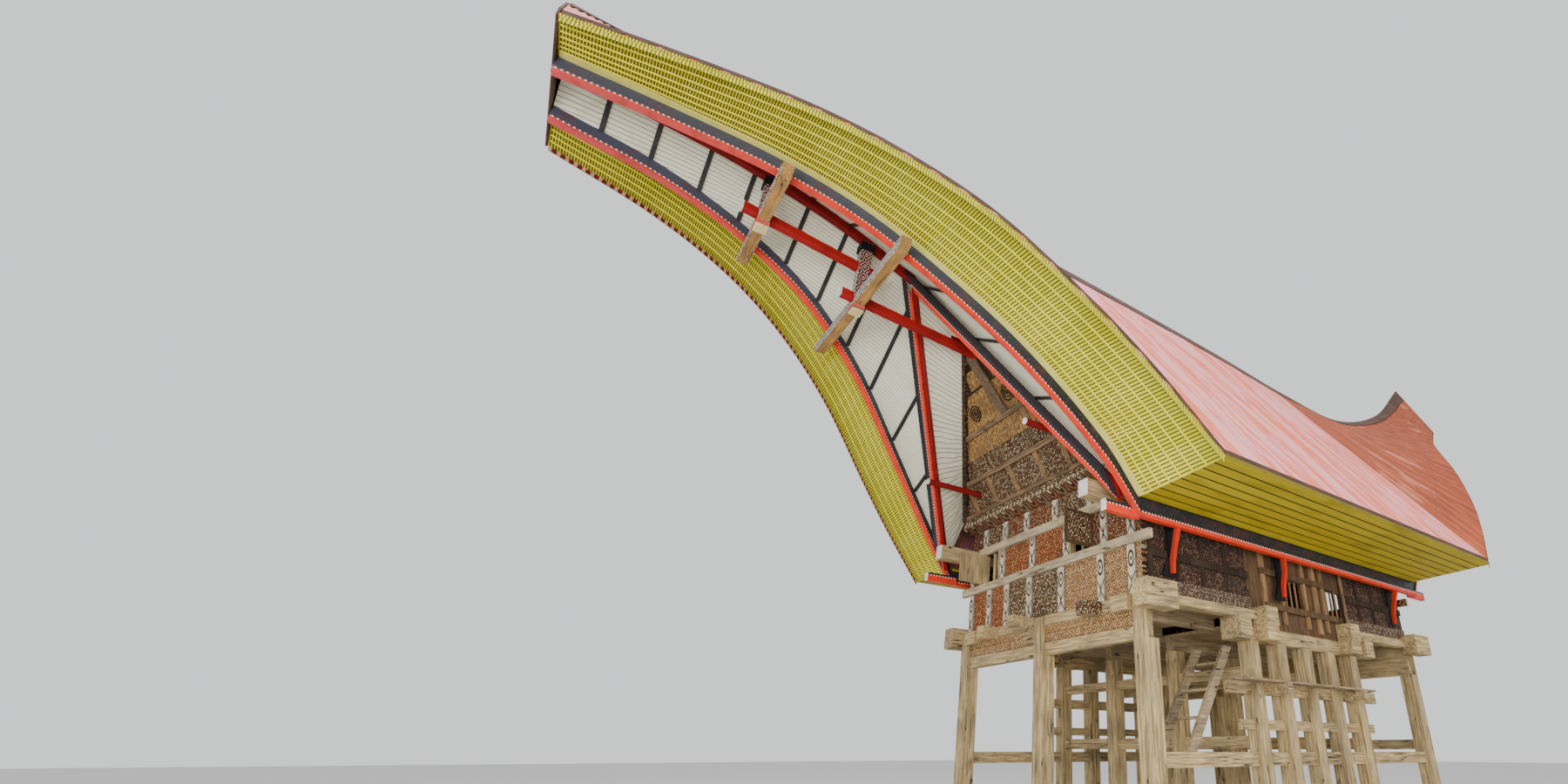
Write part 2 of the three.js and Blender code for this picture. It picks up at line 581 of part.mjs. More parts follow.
function roof() {
  const slope = roofSlope();
  add('roof_right', 'roof_metal', slope);
  add('roof_left', 'roof_metal', toLeft(slope));
  add('ridge_cap', 'ridge_brown', ridgeCap());
  add('prow_end_front', 'carved_wood', prowEnd(false));
  add('prow_end_back', 'carved_wood', prowEnd(true));
  const sides = { band: ['slat_yellow', edgeBand()], edge_trim: ['trim_red', edgeTrim()],
    ceiling: ['ceiling_white', ceiling()] };
  for (const [name, [colour, shape]] of Object.entries(sides)) {
    add(`${name}_front_right`, colour, shape);
    add(`${name}_front_left`, colour, toLeft(shape));
    add(`${name}_back_right`, colour, sweepUp(toBack(shape)));
    add(`${name}_back_left`, colour, sweepUp(toBack(toLeft(shape))));
  }
  add('soffit_right', 'slat_yellow', sideSoffit());
  add('soffit_left', 'slat_yellow', toLeft(sideSoffit()));
  add('eave_beam_right', 'trim_red', eaveBeam());
  add('eave_beam_left', 'trim_red', toLeft(eaveBeam()));
}

frontPosts();
underfloor();
walls();
gables();
roof();

// The origin is below the middle of the whole outline
const middle = new THREE.Box3().setFromObject(group).getCenter(new THREE.Vector3());
for (const mesh of group.children) mesh.geometry.translate(0, -middle.y, 0);

export default group;
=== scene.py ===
"""Tongkonan house: carved timber house on posts under a boat-shaped sheet metal roof."""
import math

import bpy
from mathutils import Matrix, Vector


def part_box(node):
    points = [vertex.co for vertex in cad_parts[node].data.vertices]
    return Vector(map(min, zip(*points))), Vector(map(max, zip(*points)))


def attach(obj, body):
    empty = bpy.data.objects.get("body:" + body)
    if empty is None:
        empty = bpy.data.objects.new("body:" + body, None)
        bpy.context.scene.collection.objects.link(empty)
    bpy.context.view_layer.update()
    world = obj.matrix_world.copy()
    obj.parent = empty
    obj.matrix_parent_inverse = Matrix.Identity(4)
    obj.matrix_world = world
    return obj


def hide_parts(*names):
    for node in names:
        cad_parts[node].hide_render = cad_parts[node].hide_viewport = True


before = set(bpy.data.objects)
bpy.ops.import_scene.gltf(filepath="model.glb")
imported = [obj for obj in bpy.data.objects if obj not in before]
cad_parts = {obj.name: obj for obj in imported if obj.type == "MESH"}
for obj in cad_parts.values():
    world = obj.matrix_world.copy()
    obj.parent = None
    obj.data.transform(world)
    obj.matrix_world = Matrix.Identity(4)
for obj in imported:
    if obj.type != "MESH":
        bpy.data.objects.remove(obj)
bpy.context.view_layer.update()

# Lengths in metres. Pieces are modelled with y = 0 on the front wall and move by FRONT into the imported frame.
FRONT = (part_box("post_front_centre")[0][1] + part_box("post_front_centre")[1][1]) / 2
LENGTH = 6.5  # front wall to back wall
POST_X = 2.0  # middles of the outer posts
WALL_X = 2.08  # outer face of the side walls
BAY = 1.97  # depth of the raised floor at each end
WALL_FACE = -0.0195  # front face of the end walls
RAILS = ((3.537, 3.663), (4.147, 4.273))  # feet and tops of the two rails on the end walls
RAIL_FRONT = -0.089
WINDOWS = ((-1.6, -1.15), (0.65, 1.1))
WINDOW_Z = (3.664, 4.146)
SIDE_WINDOWS = ((2.82, 3.36), (3.94, 4.48))
GABLE_FOOT, GABLE_PEAK = (-0.2, 4.85), (-1.6, 7.15)  # y and z of the leaning gable's face
GABLE_HALF = 2.05
ROOF_THICK, BAND_THICK = 0.06, 0.045
BOARD_H = 0.25  # hanging board along the roof's inner edge
BOARD_FOOT = BOARD_H - 0.155  # its wide red foot; the rest is black
BOARD_TOP = 0.044  # thickness of its black part
RIDGE_START, RIDGE_END = -7.338, LENGTH + 7.938
WAVE = 0.076  # one corrugation
BACK_SHEETS = LENGTH + 0.35 + FRONT  # the redder sheets start here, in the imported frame
LEG_PEAK, LEG_FOOT = (0.0, 2.54, 7.69), (2.15, 0.48, 4.15)  # gable frame: x, distance out and z
FACING = 0.20  # width of the dotted board on it
KINGS = ((3.34, 1.528), (4.74, 1.048))  # king posts: distance out, and half the cross beam
CROSS_H = 0.17
KING_ROW = (FRONT - 3.34) / 0.145  # centres the diamonds on the king posts
LIFT, LIFT_OUT = 1.6, 2.62  # the back prow rises this much more, from this far out

# Curves of the roof against the distance out past an end wall: x and z, or z alone; the ridge is against y
EAVE_OUT, TIP_OUT = 0.296, 7.138
OUTER = ((0.296, 3.62, 4.153), (1.096, 3.417, 5.016), (1.768, 3.168, 5.741), (2.733, 2.721, 6.743),
         (3.709, 2.252, 7.442), (4.715, 1.812, 7.889), (5.856, 1.39, 8.113), (7.138, 1.018, 8.17))
INNER = ((0.296, 2.3, 3.985), (0.79, 2.24, 4.641), (1.725, 1.891, 5.75), (2.669, 1.441, 6.719),
         (3.694, 1.059, 7.481), (4.788, 0.765, 7.922), (5.938, 0.529, 8.12), (7.138, 0.395, 8.16))
APEX = ((2.54, 7.74), (3.72, 8.15), (5.03, 8.41), (6.15, 8.49), (7.138, 8.51))
RIDGE = ((-7.338, 9.42), (-5, 9.425), (-2.5, 9.44), (0, 9.45), (2.5, 9.43), (5, 9.37), (7.5, 9.26), (10, 9.34),
         (12.5, 10.33), (14.438, 11.9))


def curve(table, column):
    """Smooth curve through one column of a table."""
    def value(t):
        if t <= table[0][0]:
            return table[0][column]
        if t >= table[-1][0]:
            return table[-1][column]
        i = next(k for k in range(len(table) - 1) if t <= table[k + 1][0])

        def slope(j):
            a, b = max(j - 1, 0), min(j + 1, len(table) - 1)
            return (table[b][column] - table[a][column]) / (table[b][0] - table[a][0])
        h = table[i + 1][0] - table[i][0]
        s = (t - table[i][0]) / h
        return ((2 * s**3 - 3 * s**2 + 1) * table[i][column] + (s**3 - 2 * s**2 + s) * h * slope(i)
                + (3 * s**2 - 2 * s**3) * table[i + 1][column] + (s**3 - s**2) * h * slope(i + 1))
    return value


outer_x, outer_z = curve(OUTER, 1), curve(OUTER, 2)
inner_x, inner_z = curve(INNER, 1), curve(INNER, 2)
apex_z, ridge_z = curve(APEX, 1), curve(RIDGE, 1)


def mix(a, b, t):
    """From a at t = 0 to b at t = 1."""
    return a + (b - a) * t


def lift(y):
    """How much higher the back prow is swept than the front one."""
    return LIFT * max(0.0, (y - LENGTH - LIFT_OUT) / (TIP_OUT - LIFT_OUT))**2


def operator(operation, reflected=False):
    """A method that adds a Math node of this operation; reflected puts the other value first."""
    def method(self, *others):
        values = (*others, self) if reflected else (self, *others)
        return self.finish.maths(operation, *values)
    return method


class Value:
    """A socket whose operators add the nodes of an expression."""

    def __init__(self, finish, socket):
        self.finish, self.socket = finish, socket

    __add__, __radd__ = operator("ADD"), operator("ADD", True)
    __sub__, __rsub__ = operator("SUBTRACT"), operator("SUBTRACT", True)
    __mul__, __rmul__ = operator("MULTIPLY"), operator("MULTIPLY", True)
    __truediv__, __pow__, __gt__ = operator("DIVIDE"), operator("POWER"), operator("GREATER_THAN")
    __abs__, fract, floor = operator("ABSOLUTE"), operator("FRACT"), operator("FLOOR")
    sine, root = operator("SINE"), operator("SQRT")
    least, most = operator("MINIMUM"), operator("MAXIMUM")

    def from_middle(self):
        """Distance from the middle of the whole step that the value lies in."""
        return abs(self.fract() - 0.5)

    def odd(self):
        """1 in every second whole step, 0 in the others."""
        return self.finish.maths("MODULO", abs(self.floor()), 2.0)


class Finish:
    """One material and its nodes."""

    def __init__(self, name, roughness=0.7, sheen=0.18):
        self.material = bpy.data.materials.new(name)
        self.material.use_nodes = True
        self.tree = self.material.node_tree
        self.shader = self.tree.nodes["Principled BSDF"]
        self.shader.inputs["Roughness"].default_value = roughness
        self.shader.inputs["Specular IOR Level"].default_value = sheen

    def node(self, kind, settings=None, values=None):
        """A node with its settings, then the numbers or links of its sockets."""
        node = self.tree.nodes.new("ShaderNode" + kind)
        for name, setting in (settings or {}).items():
            setattr(node, name, setting)
        for name, value in (values or {}).items():
            if isinstance(value, Value):
                self.tree.links.new(value.socket, node.inputs[name])
            else:
                node.inputs[name].default_value = value
        return node

    def maths(self, operation, *values):
        return Value(self, self.node("Math", {"operation": operation}, dict(enumerate(values))).outputs[0])

    def place(self, scale=(1, 1, 1)):
        """Place on the object, in metres, stretched by scale."""
        values = {"Vector": Value(self, self.node("TexCoord").outputs["Object"]), "Scale": scale}
        return Value(self, self.node("Mapping", {"vector_type": "POINT"}, values).outputs[0])

    def axes(self, vector=None):
        split = self.node("SeparateXYZ", values={0: vector or self.place()})
        return [Value(self, out) for out in split.outputs]

    def along(self):
        """The piece's own map: metres across and metres along."""
        return self.axes(Value(self, self.node("UVMap").outputs[0]))[:2]

    def vector(self, x=0.0, y=0.0, z=0.0):
        return Value(self, self.node("CombineXYZ", values={0: x, 1: y, 2: z}).outputs[0])

    def noise(self, vector, scale, detail=3.0, roughness=0.5):
        values = {"Vector": vector, "Scale": scale, "Detail": detail, "Roughness": roughness}
        return Value(self, self.node("TexNoise", values=values).outputs["Fac"])

    def mottle(self, scale, detail=4.0, roughness=0.6):
        """Even noise over the object."""
        return self.noise(self.place(), scale, detail, roughness)

    def cells(self, vector, scale):
        node = self.node("TexVoronoi", {"feature": "F1"}, {"Vector": vector, "Scale": scale})
        return Value(self, node.outputs["Distance"])

    def smooth(self, value, low, high, start=0.0, end=1.0):
        """Eases from start to end while the value goes from low to high."""
        settings = {"interpolation_type": "SMOOTHSTEP"}
        values = {"Value": value, "From Min": low, "From Max": high, "To Min": start, "To Max": end}
        return Value(self, self.node("MapRange", settings, values).outputs[0])

    def coats(self, colour, *coats):
        """A ground colour and the coats over it, each how much it covers and its colour."""
        for factor, over in coats:
            under, over = (c if isinstance(c, Value) else (*c, 1) for c in (colour, over))
            node = self.node("Mix", {"data_type": "RGBA"}, {0: factor, 6: under, 7: over})
            colour = Value(self, node.outputs[2])
        return colour

    def done(self, colour, rough=None, height=None, depth=0.01):
        self.tree.links.new(colour.socket, self.shader.inputs["Base Color"])
        if rough is not None:
            self.tree.links.new(rough.socket, self.shader.inputs["Roughness"])
        if height is not None:
            bump = self.node("Bump", values={"Height": height, "Distance": depth})
            self.tree.links.new(bump.outputs[0], self.shader.inputs["Normal"])
        return self.material


CLOSE, LONG = 14.0, 0.8  # how closely the grain of bare timber lies across and along it


def weathered(name, grain, pale=(0.76, 0.57, 0.28), dark=(0.24, 0.155, 0.07), ties=None):
    """Bare timber: long grain, cracks and rain stains; grain is the axis it runs along.

    ties names the axis of the tie beams between posts, the middles of the posts on it and half their width.
    """
    f = Finish(name, 0.85)
    spot = dict(zip("xyz", f.axes()))
    stretch = dict.fromkeys("xyz", CLOSE)
    stretch[grain] = LONG
    if ties:
        axis, middles, half = ties
        near = abs(spot[axis] - middles[0])
        for middle in middles[1:]:
            near = near.least(abs(spot[axis] - middle))
        level = near > half
        stretch[axis], stretch[grain] = CLOSE - level * (CLOSE - LONG), LONG + level * (CLOSE - LONG)
    where = f.vector(*[spot[a] * stretch[a] for a in "xyz"])
    lines = f.noise(where, 3.0, 6.0, 0.65)
    crack = f.smooth(f.noise(where, 1.2), 0.54, 0.50) * f.smooth(f.mottle(1.7, 2.0, 0.5), 0.46, 0.56)
    patch = f.mottle(2.2)
    line = f.smooth(abs(f.noise(where, 0.7, 2.0) - 0.5), 0.012, 0.002) * f.smooth(patch, 0.44, 0.56)
    damp = f.smooth(f.axes()[2] + patch * 0.5, 0.55, 0.15)
    rained = tuple(0.34 * c + 0.08 * sum(pale) / 3 for c in pale)
    colour = f.coats(dark, (f.smooth(lines, 0.3, 0.7), pale), (f.smooth(patch, 0.35, 0.7) * 0.6, rained),
                     (line, (0.035, 0.028, 0.02)), (crack * 0.25, (0.10, 0.075, 0.05)),
                     (damp * 0.55, (0.10, 0.085, 0.06)))
    return f.done(colour, f.smooth(lines, 0.2, 0.8, 0.95, 0.72), lines - line * 1.5, 0.006)


def curls(f, across, up, size):
    """Carved ornament, 1 where raised: rings in every second cell, hooked scrolls in the others."""
    u, v = across / size, up / size
    odd = (u.floor() + v.floor()).odd()
    x, y = u.fract() - 0.5, v.fract() - 0.5
    radius = (x * x + y * y).root()
    angle = f.maths("ARCTAN2", y, x)
    rings = (radius * 26).sine()
    scroll = (radius * 20 + angle * 2 - odd * 1.5).sine()
    rays = (angle * 8).sine() * f.smooth(radius, 0.36, 0.42)
    figure = rings * (1 - odd) + scroll * odd
    return f.smooth(figure + rays * 0.8, -0.15, 0.25), odd, radius


def carved(name, wall, ground=(0.055, 0.02, 0.014), lines=(0.36, 0.12, 0.06)):
    """Carved and painted wall; wall says which axis lies across it."""
    f = Finish(name, 0.72)
    x, y, z = f.axes()
    raised, odd, radius = curls(f, x if wall == "x" else y, z, 0.24)
    fine, wear = f.mottle(60.0, 3.0), f.mottle(3.0)
    tone = f.coats(lines, (odd, (0.30, 0.20, 0.09)), (f.smooth(radius, 0.16, 0.12), (0.62, 0.55, 0.42)))
    colour = f.coats(ground, (raised, tone), (f.smooth(abs(raised - 0.5), 0.45, 0.2) * 0.55, (0.60, 0.52, 0.38)),
                     (f.smooth(wear, 0.45, 0.7) * 0.5, (0.17, 0.10, 0.06)), (fine * 0.3, (0.05, 0.03, 0.02)))
    return f.done(colour, None, raised + fine * 0.3, 0.008)


DOT_PITCH = 0.055


def dotted(name, split, height, faded=False):
    """Edge board by its own map: red up to split, black above, a row of white dots where they meet."""
    f = Finish(name, 0.55, 0.3)
    up, run = f.along()
    red, black = (0.88, 0.045, 0.014), (0.016, 0.017, 0.021)
    if faded:
        red = f.coats(red, (f.smooth(run, 4.5, 8.5) * 0.6, (0.52, 0.09, 0.11)))
        black = f.coats(black, (f.smooth(run, 1.0, 5.5), (0.062, 0.068, 0.105)))
    wear, fine = f.mottle(5.0), f.mottle(45.0, 2.0, 0.5)
    above = up > split
    a = (run / DOT_PITCH).fract() * DOT_PITCH - DOT_PITCH / 2
    dots = f.smooth((a * a + (up - split) ** 2.0).root(), 0.0135, 0.0105)
    rim = f.smooth(height - up, 0.016, 0.010)
    colour = f.coats(red, (above, black), (f.smooth(wear, 0.45, 0.75) * 0.4, (0.16, 0.035, 0.025)),
                     (f.smooth(fine, 0.55, 0.75) * above * 0.5, (0.13, 0.14, 0.17)),
                     (dots * f.smooth(fine, 0.15, 0.35), (0.92, 0.89, 0.82)), (rim * 0.8, (0.012, 0.010, 0.010)))
    return f.done(colour, f.smooth(wear, 0.3, 0.7, 0.35, 0.7), dots * 0.4 + fine * 0.3, 0.006)


def slatted_ceiling(name):
    """Cream split slats that run along the house, with fine dark joints and damp stains."""
    f = Finish(name, 0.8)
    x, y, z = f.axes()
    slat = x / 0.044
    joint = f.smooth(slat.from_middle(), 0.41, 0.47)
    board = f.noise(f.vector(slat.floor(), (y / 1.3).floor()), 7.3, 0.0)
    stain = f.mottle(1.6, 5.0, 0.62)
    fibre = f.noise(f.place((30, 1, 30)), 2.0)
    colour = f.coats((0.86, 0.83, 0.60), (board, (0.96, 0.94, 0.78)),
                     (f.smooth(fibre, 0.4, 0.75) * 0.3, (0.64, 0.60, 0.42)),
                     (f.smooth(stain, 0.55, 0.78) * 0.5, (0.50, 0.44, 0.26)), (joint * 0.8, (0.14, 0.13, 0.08)))
    return f.done(colour, None, fibre * 0.3 - joint, 0.006)


def slatted_band(name):
    """Yellow green slats across the roof edge; the piece's own map counts them."""
    f = Finish(name, 0.7, 0.06)
    across, run = f.along()
    gap = f.smooth(run.from_middle(), 0.26, 0.34)
    tone = f.noise(f.vector(run.floor(), 0.0), 3.7, 0.0)
    patch = f.mottle(1.3)
    fibre = f.noise(f.vector(across * 3, run * 3), 2.0)
    # painted shade: the outer part of the band, from 0.55 m out, is darkened for the shade it lies in; the band
    # also gets darker towards the tip
    shade = f.smooth(across, 0.55, 1.15).most(f.smooth(run, 70.0, 210.0))
    colour = f.coats((0.84, 0.74, 0.045), (f.smooth(tone, 0.25, 0.75), (0.97, 0.90, 0.14)),
                     (f.smooth(patch, 0.40, 0.66) * 0.6, (0.60, 0.55, 0.025)), (shade * 0.5, (0.42, 0.38, 0.025)),
                     (f.smooth(fibre, 0.4, 0.7) * 0.2, (0.34, 0.30, 0.03)), (gap * 0.92, (0.16, 0.15, 0.006)))
    return f.done(colour, None, fibre * 0.2 - gap, 0.008)


def boarded_soffit(name):
    """Olive boards under the side eave."""
    f = Finish(name, 0.75)
    x, y, z = f.axes()
    plank = x / 0.165
    joint = f.smooth(plank.from_middle(), 0.42, 0.455)
    board = f.noise(f.vector(plank.floor(), (y / 2.6).floor()), 5.1, 0.0)
    stain = f.noise(f.place((2, 0.5, 2)), 2.0, 5.0, 0.6)
    fibre = f.noise(f.place((30, 1, 30)), 2.0)
    colour = f.coats((0.40, 0.30, 0.010), (board, (0.64, 0.50, 0.022)),
                     (f.smooth(stain, 0.45, 0.75) * 0.6, (0.22, 0.17, 0.012)),
                     (f.smooth(fibre, 0.4, 0.7) * 0.3, (0.30, 0.22, 0.02)), (joint, (0.015, 0.012, 0.006)))
    return f.done(colour, None, fibre * 0.3 - joint, 0.008)


def roof_sheet(name):
    """Faded corrugated sheet: salmon paint gone pale and lavender, orange rust runs down the waves."""
    f = Finish(name, 0.55, 0.35)
    across, y = f.along()[0], f.axes()[1]

    def runs(close, long, detail=4.0, roughness=0.6):
        return f.noise(f.vector(y * close, across * long), 1.0, detail, roughness)
    wide, fine, speck = runs(2.6, 0.35), runs(11, 0.6, 4.0, 0.65), runs(30, 4, 3.0)
    patch = f.mottle(0.6, 3.0, 0.5)
    rust = f.coats((0.20, 0.035, 0.012), (f.smooth(fine, 0.35, 0.65), (0.44, 0.090, 0.028)),
                   (f.smooth(wide, 0.58, 0.66) * 0.5, (0.74, 0.26, 0.16)))
    lap = f.smooth((across / 1.75).from_middle(), 0.494, 0.498)
    colour = f.coats((0.78, 0.15, 0.07), (f.smooth(wide, 0.45, 0.55), (0.84, 0.33, 0.31)),
                     (f.smooth(fine, 0.50, 0.62) * 0.9, (0.80, 0.33, 0.46)),
                     (f.smooth(fine, 0.46, 0.36) * 0.9, (0.80, 0.20, 0.05)),
                     (f.smooth(speck, 0.62, 0.72) * 0.5, (0.42, 0.12, 0.06)),
                     (f.smooth(patch, 0.5, 0.7) * 0.25, (0.60, 0.20, 0.12)),
                     (f.smooth(y + wide * 0.2, BACK_SHEETS, BACK_SHEETS + 0.02), rust),
                     (lap * 0.5, (0.22, 0.07, 0.04)))
    return f.done(colour, f.smooth(fine, 0.3, 0.7, 0.45, 0.7), fine * 0.2 - lap, 0.004)


def dull_metal(name, tone, worn):
    """Dark folded sheet."""
    f = Finish(name, 0.6)
    patch, fine = f.mottle(2.5), f.mottle(40.0, 2.0, 0.5)
    colour = f.coats(tone, (f.smooth(patch, 0.35, 0.7), worn),
                     (f.smooth(fine, 0.5, 0.8) * 0.3, (0.30, 0.16, 0.10)))
    return f.done(colour, f.smooth(fine, 0.3, 0.7, 0.5, 0.75), fine, 0.002)


def painted(name, tone, worn, grain="x"):
    """Painted timber with its fibres along grain."""
    f = Finish(name, 0.55, 0.08)
    fibre = f.noise(f.place(tuple(1.2 if axis == grain else 18.0 for axis in "xyz")), 2.0, 4.0, 0.6)
    patch = f.mottle(3.0)
    colour = f.coats(tone, (f.smooth(patch, 0.4, 0.7) * 0.6, worn),
                     (f.smooth(fibre, 0.55, 0.75) * 0.45, tuple(c * 0.45 for c in tone)))
    return f.done(colour, f.smooth(patch, 0.3, 0.7, 0.45, 0.7), fibre, 0.003)


def stud_paint(name):
    """Light stud with black crossed horns and rings, by the piece's own map from its middle line."""
    f = Finish(name, 0.8)
    across, up = f.along()
    step = up / 0.30
    odd = step.odd()
    a, b = step.fract() - 0.5, abs(across) / 0.15
    horns = f.smooth(abs(b - abs(a) * 1.05), 0.085, 0.045) * f.smooth(abs(a), 0.44, 0.40)
    radius = (a * a * 4 + b * b * 4).root()
    rings = f.smooth(abs(radius - 0.62), 0.16, 0.09).most(f.smooth(radius, 0.24, 0.16))
    stem = f.smooth(b, 0.07, 0.03) * f.smooth(abs(a), 0.30, 0.24)
    figure = horns.most(stem) * (1 - odd) + rings * odd
    grain = f.noise(f.vector(across * 40, up * 3), 1.0, 4.0, 0.6)
    wear = f.mottle(6.0)
    dark = (figure * f.smooth(wear, 0.85, 0.5)).most(f.smooth(b, 0.40, 0.44) * 0.55)
    colour = f.coats((0.44, 0.34, 0.21), (f.smooth(grain, 0.3, 0.7), (0.80, 0.73, 0.58)),
                     (f.smooth(wear, 0.5, 0.7) * 0.4, (0.26, 0.18, 0.10)), (dark * 0.95, (0.018, 0.012, 0.010)))
    return f.done(colour, None, grain * 0.4 - figure, 0.005)


def carved_board(name, ground, lines, size, pale, worn=0.3):
    """Carved panel by its own map: rings and hooked scrolls in rows, their edges pale with old lime."""
    f = Finish(name, 0.75)
    across, up = f.along()
    raised = curls(f, across, up, size)[0]
    fine, wear, speck = f.mottle(70.0, 3.0), f.mottle(4.0), f.mottle(26.0, 2.0, 0.5)
    colour = f.coats(ground, (raised, lines), (raised * f.smooth(speck, 0.46, 0.60), pale),
                     (f.smooth(wear, 0.5, 0.68) * worn, tuple(c * 0.6 + 0.02 for c in ground)),
                     (f.smooth(fine, 0.5, 0.7) * 0.35, (0.24, 0.13, 0.06)))
    return f.done(colour, None, raised + fine * 0.3, 0.012)


def diamond_carving(name):
    """Carved king post: a column of nested diamonds, lime white lines cut in dark red."""
    f = Finish(name, 0.7)
    x, y, z = f.axes()
    a = (y / 0.145 + 0.5 - KING_ROW).from_middle()
    b = (z / 0.21).from_middle()
    ring = ((a + b) * 3.4).fract()
    fine = f.mottle(80.0, 2.0, 0.5)
    colour = f.coats((0.72, 0.56, 0.48), (f.smooth(abs(ring - 0.5), 0.10, 0.17), (0.11, 0.012, 0.012)),
                     (f.smooth(fine, 0.5, 0.75) * 0.4, (0.08, 0.03, 0.025)))
    return f.done(colour, None, ring + fine * 0.3, 0.008)


def speckled_carving(name):
    """Close curls cut in black and lime white, as on the cross beams."""
    f = Finish(name, 0.75)
    inner, fine = f.cells(f.place(), 21.0), f.mottle(34.0, 3.0)
    rings = f.smooth((inner * 20 + fine * 3).sine(), -0.3, 0.3)
    colour = f.coats((0.035, 0.016, 0.018), (rings, (0.80, 0.75, 0.68)),
                     (f.smooth(fine, 0.52, 0.66) * 0.55, (0.17, 0.06, 0.05)))
    return f.done(colour, None, rings + fine * 0.3, 0.006)


def striped_band(name):
    """Red band with two rows of white ticks between black lines."""
    f = Finish(name, 0.6)
    x, y, z = f.axes()
    row = (z / 0.030).fract()
    off = abs(row - 0.5)
    ticks = f.smooth(((x + y) / 0.028).from_middle(), 0.16, 0.08) * f.smooth(off, 0.42, 0.34)
    colour = f.coats((0.80, 0.035, 0.02), (f.smooth(off, 0.34, 0.42), (0.03, 0.02, 0.02)),
                     (ticks * f.smooth(row, 0.35, 0.5), (0.8, 0.7, 0.6)))
    return f.done(colour, None, row, 0.003)


def smooth_boards(name):
    """Light brown gable boards with upright grain."""
    f = Finish(name, 0.75)
    grain, patch = f.noise(f.place((22, 22, 1.4)), 1.5, 5.0, 0.65), f.mottle(2.4)
    colour = f.coats((0.09, 0.045, 0.018), (f.smooth(grain, 0.35, 0.65), (0.50, 0.29, 0.10)),
                     (f.smooth(patch, 0.46, 0.66) * 0.65, (0.17, 0.09, 0.04)))
    return f.done(colour, None, grain, 0.005)


def ticked_paint(name):
    """Dark red folded edge with pale worn ticks along it."""
    f = Finish(name, 0.6)
    tick = f.smooth((f.along()[1] / 2.6).from_middle(), 0.26, 0.16)
    fine = f.mottle(30.0, 3.0, 0.5)
    colour = f.coats((0.15, 0.020, 0.016), (tick, (0.62, 0.34, 0.25)),
                     (f.smooth(fine, 0.5, 0.7) * 0.5, (0.10, 0.02, 0.018)))
    return f.done(colour, None, fine, 0.003)


def lime_white(name):
    """Worn lime on beam ends."""
    f = Finish(name, 0.8)
    wear = f.mottle(14.0)
    colour = f.coats((0.80, 0.79, 0.74), (f.smooth(wear, 0.4, 0.7) * 0.6, (0.50, 0.42, 0.32)))
    return f.done(colour, None, wear, 0.003)


def select_only(*pieces):
    """Selects these pieces alone, in object mode, the first one active."""
    if bpy.context.object and bpy.context.object.mode != "OBJECT":
        bpy.ops.object.mode_set(mode="OBJECT")
    bpy.ops.object.select_all(action="DESELECT")
    for piece in pieces:
        piece.select_set(True)
        bpy.context.view_layer.objects.active = pieces[0]


def edit_all():
    """Goes into edit mode with the whole active piece selected."""
    bpy.ops.object.mode_set(mode="EDIT")
    bpy.ops.mesh.select_all(action="SELECT")


def softened(piece, bevel):
    """Bevels what is selected in edit mode and leaves that mode."""
    bpy.ops.mesh.bevel(offset=bevel, segments=1, affect="EDGES")
    bpy.ops.object.mode_set(mode="OBJECT")
    return piece


def keep(piece, name, material, node=None, smooth=None):
    """Names a finished piece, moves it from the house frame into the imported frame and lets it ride."""
    piece.name = piece.data.name = name
    piece.data.transform(Matrix.Translation((0, FRONT, 0)))
    if material:
        piece.data.materials.clear()
        piece.data.materials.append(material)
    if smooth:
        select_only(piece)
        bpy.ops.object.shade_smooth_by_angle(angle=math.radians(smooth))
    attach(piece, "root")
    if node:
        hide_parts(node)


def bent_sheet(cells_across, cells_along, place, thick, inward=-1.0):
    """A flat grid whose corners go to place(u, v), mapped in metres and given its thickness."""
    select_only()
    bpy.ops.mesh.primitive_grid_add(x_subdivisions=cells_across, y_subdivisions=cells_along, size=1)
    piece = bpy.context.object
    mesh = piece.data
    spots = [Vector(place(v.co.x + 0.5, v.co.y + 0.5)) for v in mesh.vertices]
    columns = [[Vector(place(u, k / cells_along)) for k in range(cells_along + 1)] for u in (0.0, 1.0)]
    run = [0.0]
    for k in range(cells_along):
        run.append(run[-1] + max((column[k + 1] - column[k]).length for column in columns))
    layer = mesh.uv_layers.active.data
    width = (columns[1][cells_along // 2] - columns[0][cells_along // 2]).length
    for loop in mesh.loops:
        co = mesh.vertices[loop.vertex_index].co
        layer[loop.index].uv = ((co.x + 0.5) * width, run[round((co.y + 0.5) * cells_along)])
    for vertex, spot in zip(mesh.vertices, spots):
        vertex.co = spot
    solid = piece.modifiers.new("thickness", "SOLIDIFY")
    solid.thickness, solid.offset = thick, inward
    bpy.ops.object.modifier_apply(modifier=solid.name)
    return piece


def block(x0, x1, y0, y1, z0, z1, bevel=0.004):
    """A squared timber with softened edges."""
    select_only()
    bpy.ops.mesh.primitive_cube_add(size=1, location=(0, 0, 0))
    edit_all()
    bpy.ops.transform.resize(value=(abs(x1 - x0), abs(y1 - y0), abs(z1 - z0)))
    bpy.ops.transform.translate(value=((x0 + x1) / 2, (y0 + y1) / 2, (z0 + z1) / 2))
    return softened(bpy.context.object, bevel)


def cut_board(outline, y0, y1, bevel=0.003):
    """A board cut to an outline in x and z, from its front face y0 back to y1."""
    select_only()
    bpy.ops.mesh.primitive_circle_add(vertices=len(outline), radius=1, fill_type="NGON")
    piece = bpy.context.object
    for vertex, (x, z) in zip(piece.data.vertices, outline):
        vertex.co = (x, y0, z)
    edit_all()
    bpy.ops.mesh.extrude_region_move(TRANSFORM_OT_translate={"value": (0, y1 - y0, 0)})
    bpy.ops.mesh.select_all(action="SELECT")
    bpy.ops.mesh.normals_make_consistent(inside=False)
    return softened(piece, bevel)


